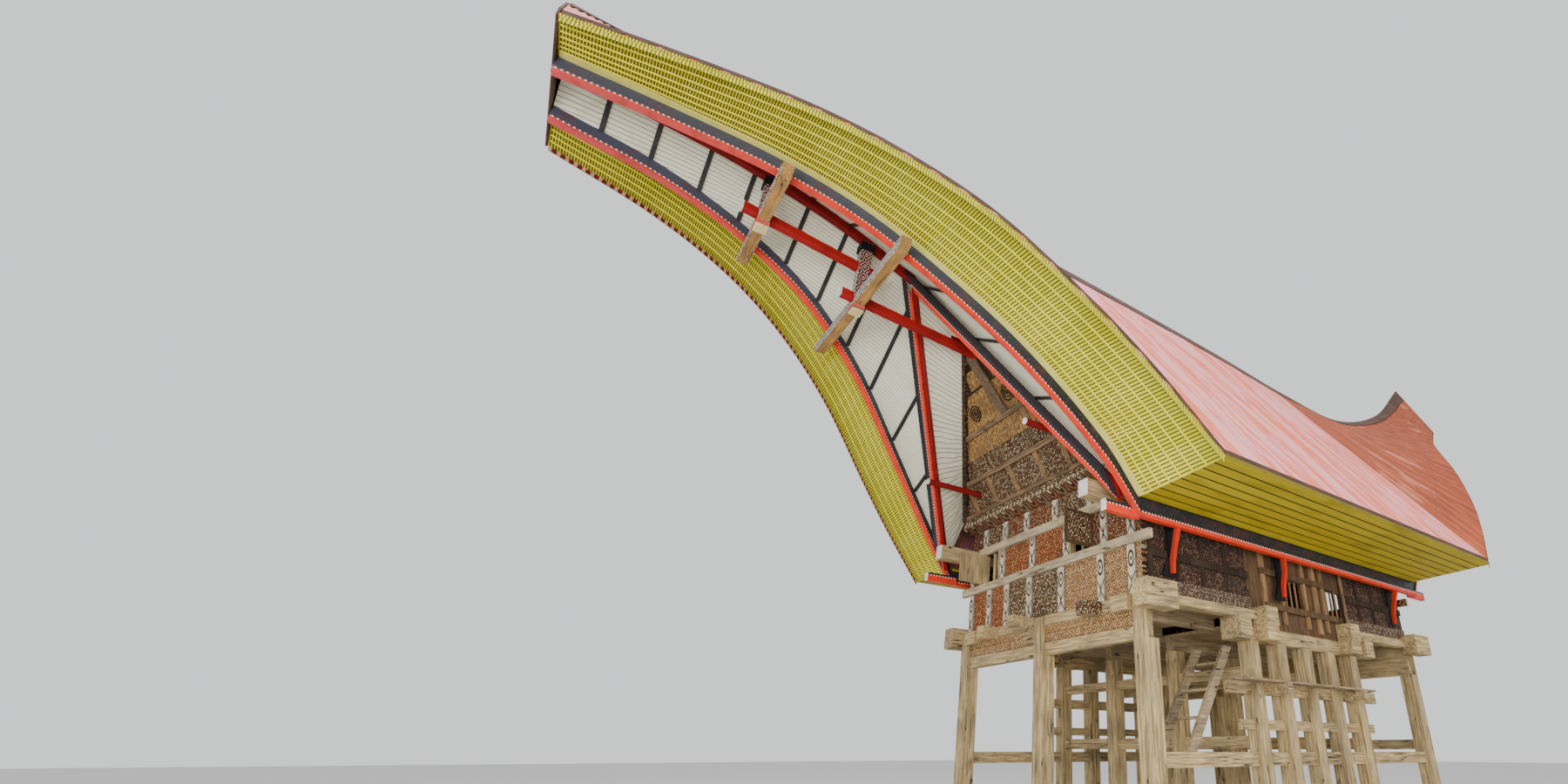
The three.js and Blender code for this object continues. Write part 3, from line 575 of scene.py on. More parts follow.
def round_bar(start, end, radius):
    """A round bar between two points with softened ends."""
    select_only()
    start, end = Vector(start), Vector(end)
    bpy.ops.mesh.primitive_cylinder_add(vertices=14, radius=radius, depth=(end - start).length)
    piece = bpy.context.object
    bpy.ops.object.mode_set(mode="EDIT")
    bpy.ops.mesh.select_all(action="DESELECT")
    bpy.ops.object.mode_set(mode="OBJECT")
    for face in piece.data.polygons:
        face.select = abs(face.normal.z) > 0.9
    bpy.ops.object.mode_set(mode="EDIT")
    softened(piece, radius * 0.12)
    turn = (end - start).to_track_quat("Z", "Y").to_matrix().to_4x4()
    piece.data.transform(Matrix.Translation((start + end) / 2) @ turn)
    return piece


def facing_out(piece):
    """Turns all faces outwards."""
    select_only(piece)
    edit_all()
    bpy.ops.mesh.normals_make_consistent(inside=False)
    bpy.ops.object.mode_set(mode="OBJECT")
    return piece


def joined(pieces):
    """One piece made of several."""
    select_only(*pieces)
    if len(pieces) > 1:
        bpy.ops.object.join()
    return bpy.context.object


def copied(piece, matrix):
    """A copy with its own mesh, moved by matrix; a mirrored one has its faces turned out again."""
    twin = bpy.data.objects.new(piece.name, piece.data.copy())
    bpy.context.collection.objects.link(twin)
    twin.data.transform(matrix)
    if matrix.determinant() < 0:
        twin.data.flip_normals()
    return twin


def mapped(piece, origin, across=(1, 0, 0), up=(0, 0, 1)):
    """Gives a flat piece its own map, in metres from origin."""
    across, up, origin = Vector(across), Vector(up), Vector(origin)
    mesh = piece.data
    layer = mesh.uv_layers.active or mesh.uv_layers.new(name="UVMap")
    for loop in mesh.loops:
        spot = mesh.vertices[loop.vertex_index].co - origin
        layer.data[loop.index].uv = (spot.dot(across), spot.dot(up))
    return piece


def faces_painted(piece, materials, choose):
    """Several finishes on one piece: choose gives a face's finish by its normal."""
    piece.data.materials.clear()
    for material in materials:
        piece.data.materials.append(material)
    for face in piece.data.polygons:
        face.material_index = choose(face.normal)
    return piece


# Where a piece that was modelled at the front right is repeated; at the ends it follows the lift of the back prow
HERE, TO_LEFT = Matrix.Identity(4), Matrix.Diagonal((-1, 1, 1, 1))
TO_BACK = Matrix.Translation((0, LENGTH, 0)) @ Matrix.Diagonal((1, -1, 1, 1))
SIDES = {"right": HERE, "left": TO_LEFT}
ENDS = {"front": HERE, "back": TO_BACK}
CORNERS = {"front_right": HERE, "front_left": TO_LEFT, "back_right": TO_BACK, "back_left": TO_BACK @ TO_LEFT}


def spread(spots, piece, name, material, nodes="", smooth=None):
    """Copies a piece, or a list of pieces joined, to each spot; a copy may replace the node of the same spot."""
    piece = joined(piece) if isinstance(piece, list) else piece
    for spot, matrix in spots.items():
        twin = copied(piece, matrix)
        if spots is not SIDES:
            for vertex in twin.data.vertices:
                vertex.co.z += lift(vertex.co.y)
        keep(twin, f"{name}_{spot}", material, nodes and f"{nodes}_{spot}", smooth)
    bpy.data.objects.remove(piece)


def camera():
    """The photograph's camera."""
    data = bpy.data.cameras.new("camera")
    data.lens, data.sensor_width, data.sensor_fit = 14.76, 36, "HORIZONTAL"
    data.shift_x, data.shift_y = -0.175, 0.04
    data.clip_end = 200
    eye = bpy.data.objects.new("camera", data)
    eye.location = (7.469, FRONT - 5.667, 1.15)
    eye.rotation_euler = (math.pi / 2 + 0.432, 0, 0.900)
    bpy.context.collection.objects.link(eye)
    bpy.context.scene.camera = eye


def light():
    """A pale sky and three soft lamps aimed at the house."""
    world = bpy.data.worlds.new("studio")
    bpy.context.scene.world = world
    world.use_nodes = True
    sky = world.node_tree.nodes["Background"]
    sky.inputs["Color"].default_value = (0.93, 0.95, 0.97, 1)
    sky.inputs["Strength"].default_value = 1.1
    for name, place, size, power in (("sky", (6, -8, 19), 16, 2600), ("side", (16, 4, 8), 10, 700),
                                     ("low", (10, -13, 0.8), 9, 1900)):
        data = bpy.data.lights.new(name, "AREA")
        data.size, data.energy = size, power
        lamp = bpy.data.objects.new(name, data)
        lamp.location = place
        aim = Vector((0, 0, 4)) - Vector(place)
        lamp.rotation_euler = aim.to_track_quat("-Z", "Y").to_euler()
        bpy.context.collection.objects.link(lamp)


def floor():
    """Plain pale floor."""
    select_only()
    bpy.ops.mesh.primitive_plane_add(size=160, location=(0, 0, -0.002))
    plane = bpy.context.object
    plane.name = "studio_floor"
    f = Finish("studio_floor", 0.9)
    colour = f.coats((0.60, 0.59, 0.57), (f.mottle(0.3, 2.0, 0.5), (0.63, 0.62, 0.60)))
    plane.data.materials.append(f.done(colour))


def finish_nodes(material, *starts):
    """Gives the CAD nodes whose names start so their finish."""
    for name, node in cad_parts.items():
        if name.startswith(starts):
            if not node.material_slots:
                node.data.materials.append(material)
            for slot in node.material_slots:
                slot.material = material


def roof_line(y):
    """Distance out of the sheets' lower edge at y, and the y of the ridge point above it."""
    out = max(0.0, max(-y, y - LENGTH) - EAVE_OUT) / (TIP_OUT - EAVE_OUT)
    lean = RIDGE_START + TIP_OUT if y < LENGTH / 2 else RIDGE_END - LENGTH - TIP_OUT
    return max(-y, y - LENGTH, EAVE_OUT), y + lean * out**2


def roof_spot(y, t, rise=0.0, inset=0.006):
    """Point on the right slope, t from the ridge down to the lower edge."""
    p, ridge_y = roof_line(y)
    z = mix(ridge_z(ridge_y), outer_z(p) + lift(y), t)
    return Vector((mix(0.001, outer_x(p) - inset, t), mix(ridge_y, y, t), z + rise))


def roof_y(v, inset=0.0):
    """From the front tip to the back tip."""
    return mix(-TIP_OUT + inset, LENGTH + TIP_OUT - inset, v)


WAVES = round((LENGTH + 2 * TIP_OUT) / WAVE)
RIDGE_TEETH = 287


def roof_sheets(metal):
    """Corrugated sheets of each slope."""
    def place(u, v):
        return roof_spot(roof_y(v), u, 0.010 * (math.cos(v * WAVES * 2 * math.pi) - 1))
    spread(SIDES, bent_sheet(5, WAVES * 6, place, 0.045), "roof_sheets", metal, "roof", 50)


def ridge_cover(metal):
    """Folded cap over the ridge with square teeth along both edges."""
    count = RIDGE_TEETH * 4

    def place(u, v):
        y = roof_y(v, 0.004)
        side = (u - 0.5) * 2
        tooth = abs(side) > 0.99 and round(v * count) % 4 in (1, 2)
        t = (0.260 if tooth else 0.225) * abs(side) / outer_x(roof_line(y)[0])
        spot = roof_spot(y, t, 0.016 + 0.010 * (1 - abs(side)))
        return (math.copysign(spot.x, side) if side else 0.0, spot.y, spot.z)
    keep(bent_sheet(4, count, place, 0.008), "ridge_cover", metal, "ridge_cap", 40)


def edge_teeth(metal):
    """Folded strip along the sheets' edge: small teeth at the eave, wide scallops up the prows."""
    count = WAVES * 4
    cut = (0.0, 0.6, 1.0, 0.6)

    def place(u, v):
        y = roof_y(v)
        spot = roof_spot(y, 1.0, 0.0, 0.003)
        past = max(-y, y - LENGTH) - EAVE_OUT
        if past > 0:
            depth = 0.035 + 0.030 * abs(math.sin(past * 10))
        else:
            depth = 0.050 + 0.035 * cut[round(v * count) % 4]
        return (spot.x, spot.y, spot.z + mix(-0.004, -depth, u))
    spread(SIDES, bent_sheet(1, count, place, 0.002, 1.0), "eave_teeth", metal)


SLATS = 226
LIP_CELLS = 190
PROW_CELLS = 90
BATTENS = (0.17, 0.28, 0.40, 0.53, 0.67, 0.82)  # their places between the inner and the outer edge


def out_at(v, start, stop):
    """Distance out, from start past the eave corner to stop short of the tip."""
    return mix(EAVE_OUT + start, TIP_OUT - stop, v)


def edge_bands(slats, battens, plain, ticked):
    """Slatted underside of the swept roof edge, with battens along it and a plain strip inside."""
    def under(p, t, drop=0.0005):
        x1, z1 = outer_x(p) - 0.008, outer_z(p) - ROOF_THICK - BAND_THICK - 0.001
        return Vector((mix(inner_x(p), x1, t), -p, mix(inner_z(p), z1, t) - drop))

    def place(u, v):
        groove = 0 < v < 1 and round(v * SLATS * 4) % 4 in (2, 3)
        return under(out_at(v, 0.001, 0.004), u, -0.016 if groove else 0.0)
    band = bent_sheet(2, SLATS * 4, place, 0.03)
    layer = band.data.uv_layers.active.data
    for loop in band.data.loops:
        v = (-band.data.vertices[loop.vertex_index].co.y - EAVE_OUT - 0.001) / (TIP_OUT - EAVE_OUT - 0.005)
        layer[loop.index].uv = (layer[loop.index].uv[0], v * SLATS + 0.375)
    spread(CORNERS, band, "edge_slats", slats, "band")

    def strip(t0, t1, left, right, thick):
        """Strip from left of t0 to right of t1, in metres."""
        def spot(u, v):
            p = out_at(v, 0.01, 0.01)
            wide = outer_x(p) - inner_x(p)
            return under(p, mix(t0 + left / wide, t1 + right / wide, u))
        return bent_sheet(1, PROW_CELLS, spot, thick, 1.0)
    spread(CORNERS, [strip(t, t, -0.008, 0.008, 0.012) for t in BATTENS], "edge_battens", battens)
    spread(CORNERS, strip(0.001, 0.0, 0.0, 0.10, 0.014), "edge_plain_strip", plain)

    def fascia(u, v):
        p = out_at(v, 0.002, 0.005)
        return (outer_x(p) - 0.012, -p, outer_z(p) - mix(0.060, 0.165, u))
    lip = bent_sheet(1, LIP_CELLS, fascia, 0.008, 1.0)
    for uv in lip.data.uv_layers.active.data:
        uv.uv = (1.0, uv.uv[1] / 0.037)
    faces_painted(lip, [slats, ticked], lambda normal: normal.x < -0.3)
    spread(CORNERS, lip, "edge_fascia", None)


def hanging_board(spot, cells, inward):
    """Board whose foot follows spot(v): wide red foot below, thinner black part above."""
    parts = []
    for half, low, high in ((0.042, 0.0, BOARD_FOOT), (BOARD_TOP / 2, BOARD_FOOT + 0.001, BOARD_H)):
        def place(u, v, half=half, low=low, high=high):
            x, y, z = spot(v)
            return (x - half, y, z + mix(low, high, u))
        parts.append(bent_sheet(1, cells, place, half * 2, inward))
    for uv in parts[1].data.uv_layers.active.data:
        uv.uv = (uv.uv[0] + BOARD_FOOT, uv.uv[1])
    return joined(parts)


def edge_boards(board):
    """Hanging board along the inner edge of each prow."""
    def spot(v):
        p = out_at(v, 0.001, 0.002)
        return (inner_x(p) - BOARD_TOP / 2, -p, inner_z(p) - 0.001 - BOARD_H)
    spread(CORNERS, hanging_board(spot, 110, 1.0), "edge_board", board, "edge_trim")


# Middle and foot of the hanging board along the side eave
EAVE_X, EAVE_LOW = INNER[0][1] - BOARD_TOP / 2, INNER[0][2] - 0.001 - BOARD_H
# Outlines of its brackets: the board on the wall, and the upper and lower end of the strut
BRACKET = ((-0.055, 0.1), (0.055, 0.1), (0.05, -0.28), (0.075, -0.6), (-0.17, -0.6), (-0.12, -0.5), (-0.07, -0.36))
STRUT_TOP = ((0.035, 0.03), (-0.04, 0.03))
STRUT_FOOT = ((0.10, -0.19), (0.042, -0.38), (0.038, -0.56), (0.085, -0.56), (0.10, -0.40), (0.15, -0.22))


def eave_boards(board, black, red):
    """Hanging board along the side eave, and the brackets that lean back to the wall."""
    eave = hanging_board(lambda v: (EAVE_X, mix(-EAVE_OUT, LENGTH + EAVE_OUT, v), EAVE_LOW), 8, -1.0)
    spread(SIDES, eave, "eave_board", board, "eave_beam")
    boards, struts = [], []
    for y, face in ((0.4, WALL_X), (2.7, WALL_X + 0.06), (LENGTH - 0.4, WALL_X)):
        plate = cut_board([(y + a, EAVE_LOW + b) for a, b in BRACKET], face + 0.002, face + 0.037)
        plate.data.transform(Matrix(((0, 1, 0, 0), (1, 0, 0, 0), (0, 0, 1, 0), (0, 0, 0, 1))))
        plate.data.flip_normals()
        boards.append(plate)
        outline = [(EAVE_X + a, EAVE_LOW + b) for a, b in STRUT_TOP]
        outline += [(face + a, EAVE_LOW + b) for a, b in STRUT_FOOT]
        struts.append(cut_board(outline, y - 0.03, y + 0.03))
    spread(SIDES, boards, "eave_bracket_boards", black)
    spread(SIDES, struts, "eave_struts", red)


def eave_beam_heads(board, white):
    """Short dotted beam that carries on from the side eave past the corner, with a white end."""
    top = EAVE_LOW + 0.135
    head = block(EAVE_X - 0.12, EAVE_X - 0.035, -0.80, -0.25, top - 0.14, top, 0.006)
    end = block(EAVE_X - 0.122, EAVE_X - 0.033, -0.812, -0.8, top - 0.142, top + 0.002)
    spread(CORNERS, mapped(head, (0, 0, top - 0.14), (0, 0, 1), (0, 1, 0)), "eave_beam_head", board)
    spread(CORNERS, end, "eave_beam_head_end", white)


def leg_spot(a):
    """Point on the gable frame's slope, a from its peak to its foot: x, distance out and z."""
    return [mix(top, foot, a) for top, foot in zip(LEG_PEAK, LEG_FOOT)]


def ceiling_battens(material):
    """Dark battens across the prow ceilings, from the edge board to the purlin or the gable frame."""
    strips = []
    for p in (1.25, 1.85, 2.45, 3.0, 3.62, 4.2, 4.95, 5.5, 6.1, 6.65):
        t = min(1.0, (LEG_PEAK[1] - p) / (LEG_PEAK[1] - LEG_FOOT[1]))
        x, _, z = leg_spot(t)
        start = (x + 0.04, z) if t > 0 else (0.05, apex_z(p) - 0.02)
        end = (inner_x(p) - 0.05, inner_z(p) - 0.024)

        def strip(u, v, p=p, start=start, end=end):
            return (mix(start[0], end[0], v), -p + (u - 0.5) * 0.055, mix(start[1], end[1], v) - 0.006)
        strips.append(facing_out(bent_sheet(1, 2, strip, 0.028, 1.0)))
    spread(CORNERS, strips, "ceiling_battens", material)


ACROSS_LEG = Vector((0.885, -0.233, 0.40))  # level with the gable frame's slope, square to its leg


def frame_boards(board):
    """Dotted boards on the front of the gable frame, level with its slope: red inside, near black outside."""
    pieces = []
    for side in (-1, 1):
        def place(u, v, side=side):
            a = mix((0.055 - ACROSS_LEG.x * FACING * u) / LEG_FOOT[0], 0.995, v)  # butts against the purlin
            x, p, z = leg_spot(a)
            x, y, z = Vector((x, -p - 0.034, z - 0.21)) + ACROSS_LEG * FACING * u * min(1.0, (1.02 - a) / 0.10)
            return (x * side, y, z)
        pieces.append(facing_out(bent_sheet(1, 24, place, 0.012, -side)))
    spread(ENDS, pieces, "gable_frame_facing", board)


def rising_beam(p0, z0, p1, z1, half_x, half_z):
    """A squared beam on the middle line that rises outwards."""
    beam = block(-half_x, half_x, -p1, -p0, -half_z, half_z, 0.012)
    for vertex in beam.data.vertices:
        vertex.co.z += mix(z0, z1, (-vertex.co.y - p0) / (p1 - p0))
    return beam


def king_block(half, p, z0, z1, bevel):
    """A square block around a king post."""
    return block(-half, half, -p - half, -p + half, z0, z1, bevel)


def prow_truss(diamond, speckled, timber, red, dark, white, striped, black, cream):
    """King posts, cross beams, lower red beams and the purlin under the prow ceiling."""
    posts, crosses, bands, caps, feet = [], [], [], [], []
    for p, half in KINGS:
        top = inner_z(p - 0.075) - BOARD_H - 0.002
        low, peak = top - CROSS_H, apex_z(p) - 0.13
        post = king_block(0.08, p, top - 0.02, peak, 0.008)
        posts.append(faces_painted(post, [speckled, diamond], lambda normal: abs(normal.x) > 0.7))
        caps.append(king_block(0.10, p, peak - 0.16, peak - 0.02, 0.01))
        bands.append(king_block(0.086, p, low - 0.062, low, 0.004))
        feet.append(king_block(0.082, p, low - 0.098, low - 0.062, 0.006))
        outline = [(-half, top - 0.012), (-half + 0.02, top - CROSS_H * 0.75), (-half + 0.16, low),
                   (half - 0.16, low), (half - 0.02, top - CROSS_H * 0.75), (half, top - 0.012)]
        cross = cut_board(outline, -p - 0.073, -p + 0.073, 0.006)
        crosses.append(faces_painted(cross, [speckled, timber], lambda normal: abs(normal.y) <= 0.7))
    beams, blocks = [], []
    for p0, z0, p1, z1 in ((1.30, 6.78, 3.60, 6.93), (3.04, 7.42, 5.01, 7.62)):
        beams.append(rising_beam(p0, z0, p1, z1, 0.055, 0.065))
        blocks.append(rising_beam(p1 - 0.02, z1 - 0.002, p1 + 0.045, z1 + 0.004, 0.057, 0.067))

    def purlin(u, v):
        p = mix(LEG_PEAK[1] + 0.035, TIP_OUT - 0.004, v)
        return ((u - 0.5) * 0.098, -p, apex_z(p) - 0.155)
    beam = facing_out(bent_sheet(1, 60, purlin, 0.118))
    spread(ENDS, posts, "king_posts", None, "prow_truss")
    for pieces, name, finish in ((caps, "king_post_heads", black), (feet, "king_post_feet", cream),
                                 (crosses, "cross_beams", None), (beams, "lower_beams", red),
                                 (blocks, "beam_end_blocks", white), (bands, "king_post_bands", striped),
                                 (beam, "centre_purlin", dark)):
        spread(ENDS, pieces, name, finish)


# The gable leans out: boards are laid out upright on its foot line and then tipped forward
SLOPE = Vector((0, GABLE_PEAK[0] - GABLE_FOOT[0], GABLE_PEAK[1] - GABLE_FOOT[1]))
GABLE_H = SLOPE.length
SLOPE.normalize()
TIPPED = Matrix(((1, 0, 0, 0), (0, SLOPE.z, SLOPE.y, GABLE_FOOT[0]), (0, -SLOPE.y, SLOPE.z, GABLE_FOOT[1]),
                 (0, 0, 0, 1)))
WIDE = 9.0  # past the gable's sloping sides, where every board is cut off
# Levels of the gable's rows, measured up its slope
CARVED_ROW, UPPER_ROW, BOARD_ROW, TALL_ROW = (0.06, 0.50), (0.585, 0.86), (0.86, 1.18), (1.255, 1.80)
CARVED_STUDS, BOARD_STUDS = (-1.55, -0.95, -0.35, 0.35, 0.95, 1.55), (-0.55, 0.12, 0.5)


def gable_half(s):
    """Half the gable's width at s up its slope."""
    return GABLE_HALF * (1 - s / GABLE_H)


def tipped(piece):
    """Leans a piece with the gable."""
    piece.data.transform(TIPPED)
    return piece


def gable_board(s0, s1, thick, x0=-WIDE, x1=WIDE, map_to=None):
    """A level board on the gable, cut off at its sloping sides."""
    a0, b0 = max(x0, -gable_half(s0)), min(x1, gable_half(s0))
    a1, b1 = max(x0, -gable_half(s1)), min(x1, gable_half(s1))
    piece = cut_board([(a0, s0), (b0, s0), (b1, s1), (a1, s1)], -thick, 0.002)
    return tipped(mapped(piece, map_to or ((a0 + b0) / 2, 0, s0)))


def ring_disc(x, s, radius):
    """Turned disc with raised rings."""
    parts = []
    for part in (1.0, 0.60, 0.20):
        select_only()
        bpy.ops.mesh.primitive_torus_add(major_radius=part * radius, minor_radius=0.012, major_segments=28,
                                         minor_segments=6)
        ring = bpy.context.object
        ring.data.transform(Matrix.Translation((x, -0.034, s)) @ Matrix.Rotation(math.pi / 2, 4, "X"))
        parts.append(ring)
    return tipped(joined(parts))


def gable_carving(panel, stud, beam, border, board, dark, dark_plank):
    """Boards, studs, carved rows, rings and the slanting plank on the leaning gable."""
    def row(levels, thick, edges, margin):
        return [gable_board(*levels, thick, a + margin, b - margin) for a, b in edges]

    def row_studs(levels, thick, half, middles):
        return [gable_board(*levels, thick, x - half, x + half, (x, 0, levels[0])) for x in middles]
    cuts = (-WIDE, *CARVED_STUDS, WIDE)
    reach = gable_half(CARVED_ROW[1])
    edges = [(a, b) for a, b in zip(cuts, cuts[1:]) if min(b, reach) - max(a, -reach) > 0.1]
    rows = row(CARVED_ROW, 0.022, edges, 0.05)
    rows += row(UPPER_ROW, 0.024, ((-1.45, -0.78), (-0.78, -0.10), (-0.10, 0.62), (0.62, 1.4)), 0.02)
    boards = row(BOARD_ROW, 0.020, ((-1.3, -0.55), (-0.55, 0.12), (0.12, 0.5), (0.5, 1.3)), 0.01)
    boards += row(TALL_ROW, 0.022, ((-1.2, -0.12), (-0.12, 1.2)), 0.01)
    boards += [gable_board(1.83, 2.12, 0.045, -0.42, 0.02), gable_board(1.83, 2.10, 0.045, 0.20, 0.42)]
    studs = row_studs(CARVED_ROW, 0.040, 0.05, CARVED_STUDS) + row_studs(BOARD_ROW, 0.036, 0.055, BOARD_STUDS)
    beams = [gable_board(0.0, 0.06, 0.075), gable_board(0.50, 0.585, 0.070), gable_board(1.18, 1.255, 0.070)]
    top = gable_board(1.80, 2.60, 0.020)
    plank = tipped(cut_board([(0.02, 1.26), (0.20, 1.26), (-0.04, 2.50), (-0.19, 2.30)], -0.075, -0.035))
    borders, rings = [], []
    for side in (-1, 1):
        outline = [(side * gable_half(0.0), 0.0), (side * (gable_half(0.0) - 0.13), 0.0),
                   (side * 0.02, GABLE_H - 0.13), (side * 0.02, GABLE_H - 0.01)]
        borders.append(mapped(tipped(facing_out(cut_board(outline, -0.085, -0.001))), (0, 0, 0)))
        rings.append(ring_disc(side * 0.45 - 0.11, 1.50, 0.125))
    for pieces, name, finish in ((rows, "carved_rows", panel), (studs, "studs", stud), (beams, "beams", beam),
                                 (borders, "borders", border), (boards, "boards", board), (rings, "rings", dark),
                                 (top, "top_board", dark), (plank, "slanting_plank", dark_plank)):
        spread(ENDS, pieces, "gable_" + name, finish)


# Rows of panels on the end walls: foot, top and the middles of the studs between them
ROWS = ((2.905, 3.54, (-1.96, -1.42, -0.92, -0.32, 0.45, 1.28, 1.86)),
        (3.662, 4.148, (-1.96, -1.67, -1.07, -0.26, 0.56, 1.36, 1.88)),
        (4.272, 4.60, (-1.6, -1.02, -0.42, 0.30, 1.08)))
# Finish of each panel in a row: 0 red brown, 1 dark, 2 faded, 3 brown
PANEL_TONES = ((0, 0, 0, 1, 1, 2, 2, 2), (0, 0, 0, 0, 0, 0, 3, 3), (3, 1, 3, 3, 1, 1))
ROW_END, TOP_ROW_END = 2.03, 1.72
RAIL_END, TOP_RAIL_END, CORNER_RAIL = 2.233, 1.735, 1.925


def front_carving(panel, darker, faded, brown, stud, light, rail):
    """Panels, studs, rails, window frames and carved strips on the end walls."""
    panels = {panel: [], darker: [], faded: [], brown: []}
    finishes = list(panels)
    studs, bars = [], []
    for row, (z0, z1, middles) in enumerate(ROWS):
        edges = [-ROW_END] + [e for x in middles for e in (x - 0.07, x + 0.07)] + [ROW_END]
        for k, (a, b) in enumerate(zip(edges[::2], edges[1::2])):
            if row == 1 and any(a < (w0 + w1) / 2 < b for w0, w1 in WINDOWS):
                continue
            if b - a > 0.04 and not (row == 2 and max(abs(a), abs(b)) > TOP_ROW_END):
                finish = finishes[PANEL_TONES[row][k % len(PANEL_TONES[row])]]
                piece = block(a + 0.008, b - 0.008, WALL_FACE - 0.012, WALL_FACE, z0, z1)
                panels[finish].append(mapped(piece, ((a + b) / 2, 0, z0)))
        for x in middles:
            piece = block(x - 0.068, x + 0.068, WALL_FACE - 0.034, WALL_FACE, z0, z1)
            studs.append(mapped(piece, (x, 0, z0)))
    for w0, w1 in WINDOWS:
        for x in (w0 + 0.012, w1 - 0.012):
            bars.append(block(x - 0.02, x + 0.02, WALL_FACE - 0.045, 0.035, *WINDOW_Z))
        bars.append(block((w0 + w1) / 2 - 0.02, (w0 + w1) / 2 + 0.02, -0.01, 0.03, *WINDOW_Z))
    for finish, pieces in panels.items():
        spread(ENDS, pieces, finish.name + "_panels", finish)
    spread(ENDS, studs, "front_studs", stud)
    spread(ENDS, bars, "window_bars", light)
    spans = [(-RAIL_END, RAIL_END, RAILS[0]), (-TOP_RAIL_END, TOP_RAIL_END, RAILS[1]),
             (-RAIL_END, -CORNER_RAIL, RAILS[1]), (CORNER_RAIL, WALL_X + 0.003, RAILS[1])]
    rails = [block(x0, x1, RAIL_FRONT, WALL_FACE, *levels, 0.008) for x0, x1, levels in spans]
    spread(ENDS, rails, "front_rails", rail)
    strip = mapped(block(-2.05, 2.05, -0.052, -0.0455, 2.528, 2.752), (0, 0, 2.53))
    spread(ENDS, strip, "sill_carving", faded)
    heads = [mapped(block(1.107, 1.293, -0.338, -0.3305, 2.722, 2.898), (1.2, 0, 2.81)),
             mapped(block(1.2955, 1.303, -0.336, -0.056, 2.724, 2.896), (1.3, 0, 2.81), (0, 1, 0))]
    spread(ENDS, heads, "beam_head_carving", darker)
    beam = mapped(block(-2.05, 2.05, -0.2385, -0.2305, 4.685, 4.845), (0, 0, 4.765))
    spread(ENDS, beam, "gable_beam_carving", darker)
    middles = [-1.96 + 0.098 * k for k in range(41)]
    teeth = [block(x - 0.017, x + 0.017, -0.250, -0.239, 4.69, 4.75) for x in middles]
    spread(ENDS, teeth, "gable_beam_teeth", rail)


def shutters(panel, dark, plain):
    """Opened shutters of the front windows: the right one carved and dark, the left one bare wood."""
    y0, y1, z0, z1 = -0.518, -0.0225, 3.663, 4.147
    for name, x, frame_wood, inside in (("left", WINDOWS[0][0] - 0.014, plain, plain),
                                        ("right", WINDOWS[1][1] + 0.014, dark, panel)):
        spans = ((y0, y0 + 0.05, z0, z1), (y1 - 0.05, y1, z0, z1), (y0 + 0.05, y1 - 0.05, z0, z0 + 0.045),
                 (y0 + 0.05, y1 - 0.05, z1 - 0.045, z1))
        parts = [block(x - 0.012, x + 0.012, *span) for span in spans]
        keep(joined(parts), f"shutter_frame_{name}", frame_wood, f"shutter_front_{name}")
        board = block(x - 0.008, x + 0.008, y0 + 0.05, y1 - 0.05, z0 + 0.045, z1 - 0.045, 0.002)
        keep(mapped(board, (x, (y0 + y1) / 2, z0), (0, 1, 0)), f"shutter_board_{name}", inside)


SIDE_FACE = WALL_X - 0.0005
SIDE_STUDS = 4  # in each bay
SIDE_ROWS = ((3.10, 3.36), (3.46, 3.86))  # feet and tops of the carved panels


def side_carving(panel, dark, light, plain):
    """Panels, studs, rails and window bars on the long walls."""
    def plate(thick, y0, y1, z0, z1, middle=None, start=None):
        """Plate on the wall; with a middle it gets its own map from there."""
        piece = block(SIDE_FACE, SIDE_FACE + thick, y0, y1, z0, z1)
        return piece if middle is None else mapped(piece, (0, middle, z0), (0, 1, 0))
    bays, studs, bars, strips = [], [], [], []
    for y0, y1 in ((0.05, BAY + 0.03), (LENGTH - BAY - 0.03, LENGTH - 0.05)):
        for k in range(SIDE_STUDS):
            a, b = mix(y0, y1, k / SIDE_STUDS), mix(y0, y1, (k + 1) / SIDE_STUDS)
            bays += [plate(0.014, a + 0.05, b - 0.01, *levels, (a + b) / 2) for levels in SIDE_ROWS]
            studs.append(plate(0.03, a - 0.035, a + 0.035, 2.91, 4.2, a))
        studs.append(plate(0.036, y0, y1, SIDE_ROWS[0][1], SIDE_ROWS[1][0]))
        strips += [plate(0.040, y0, y1, 3.86, 3.98, y0), plate(0.032, y0, y1, 2.91, 3.10, y0)]
    middle = (BAY + 0.36, LENGTH - BAY - 0.36)
    for k in range(5):
        y = mix(middle[0] + 0.03, middle[1] - 0.03, k / 4)
        if not any(a - 0.06 < y < b + 0.06 for a, b in SIDE_WINDOWS):
            bars.append(plate(0.045, y - 0.05, y + 0.05, 2.76, 4.2))
    for a, b in SIDE_WINDOWS:
        bars += [plate(0.05, y - 0.03, y + 0.03, 2.80, 3.98) for y in (a - 0.03, b + 0.03)]
        for k in (1, 2, 3):
            y = mix(a, b, k / 4)
            bars.append(block(SIDE_FACE - 0.035, SIDE_FACE - 0.01, y - 0.014, y + 0.014, 3.085, 3.485))
    for pieces, name, finish in ((bays, "side_panels", panel), (studs, "side_studs", dark),
                                 (bars, "side_window_bars", plain), (strips, "side_carved_strips", light)):
        spread(SIDES, pieces, name, finish)


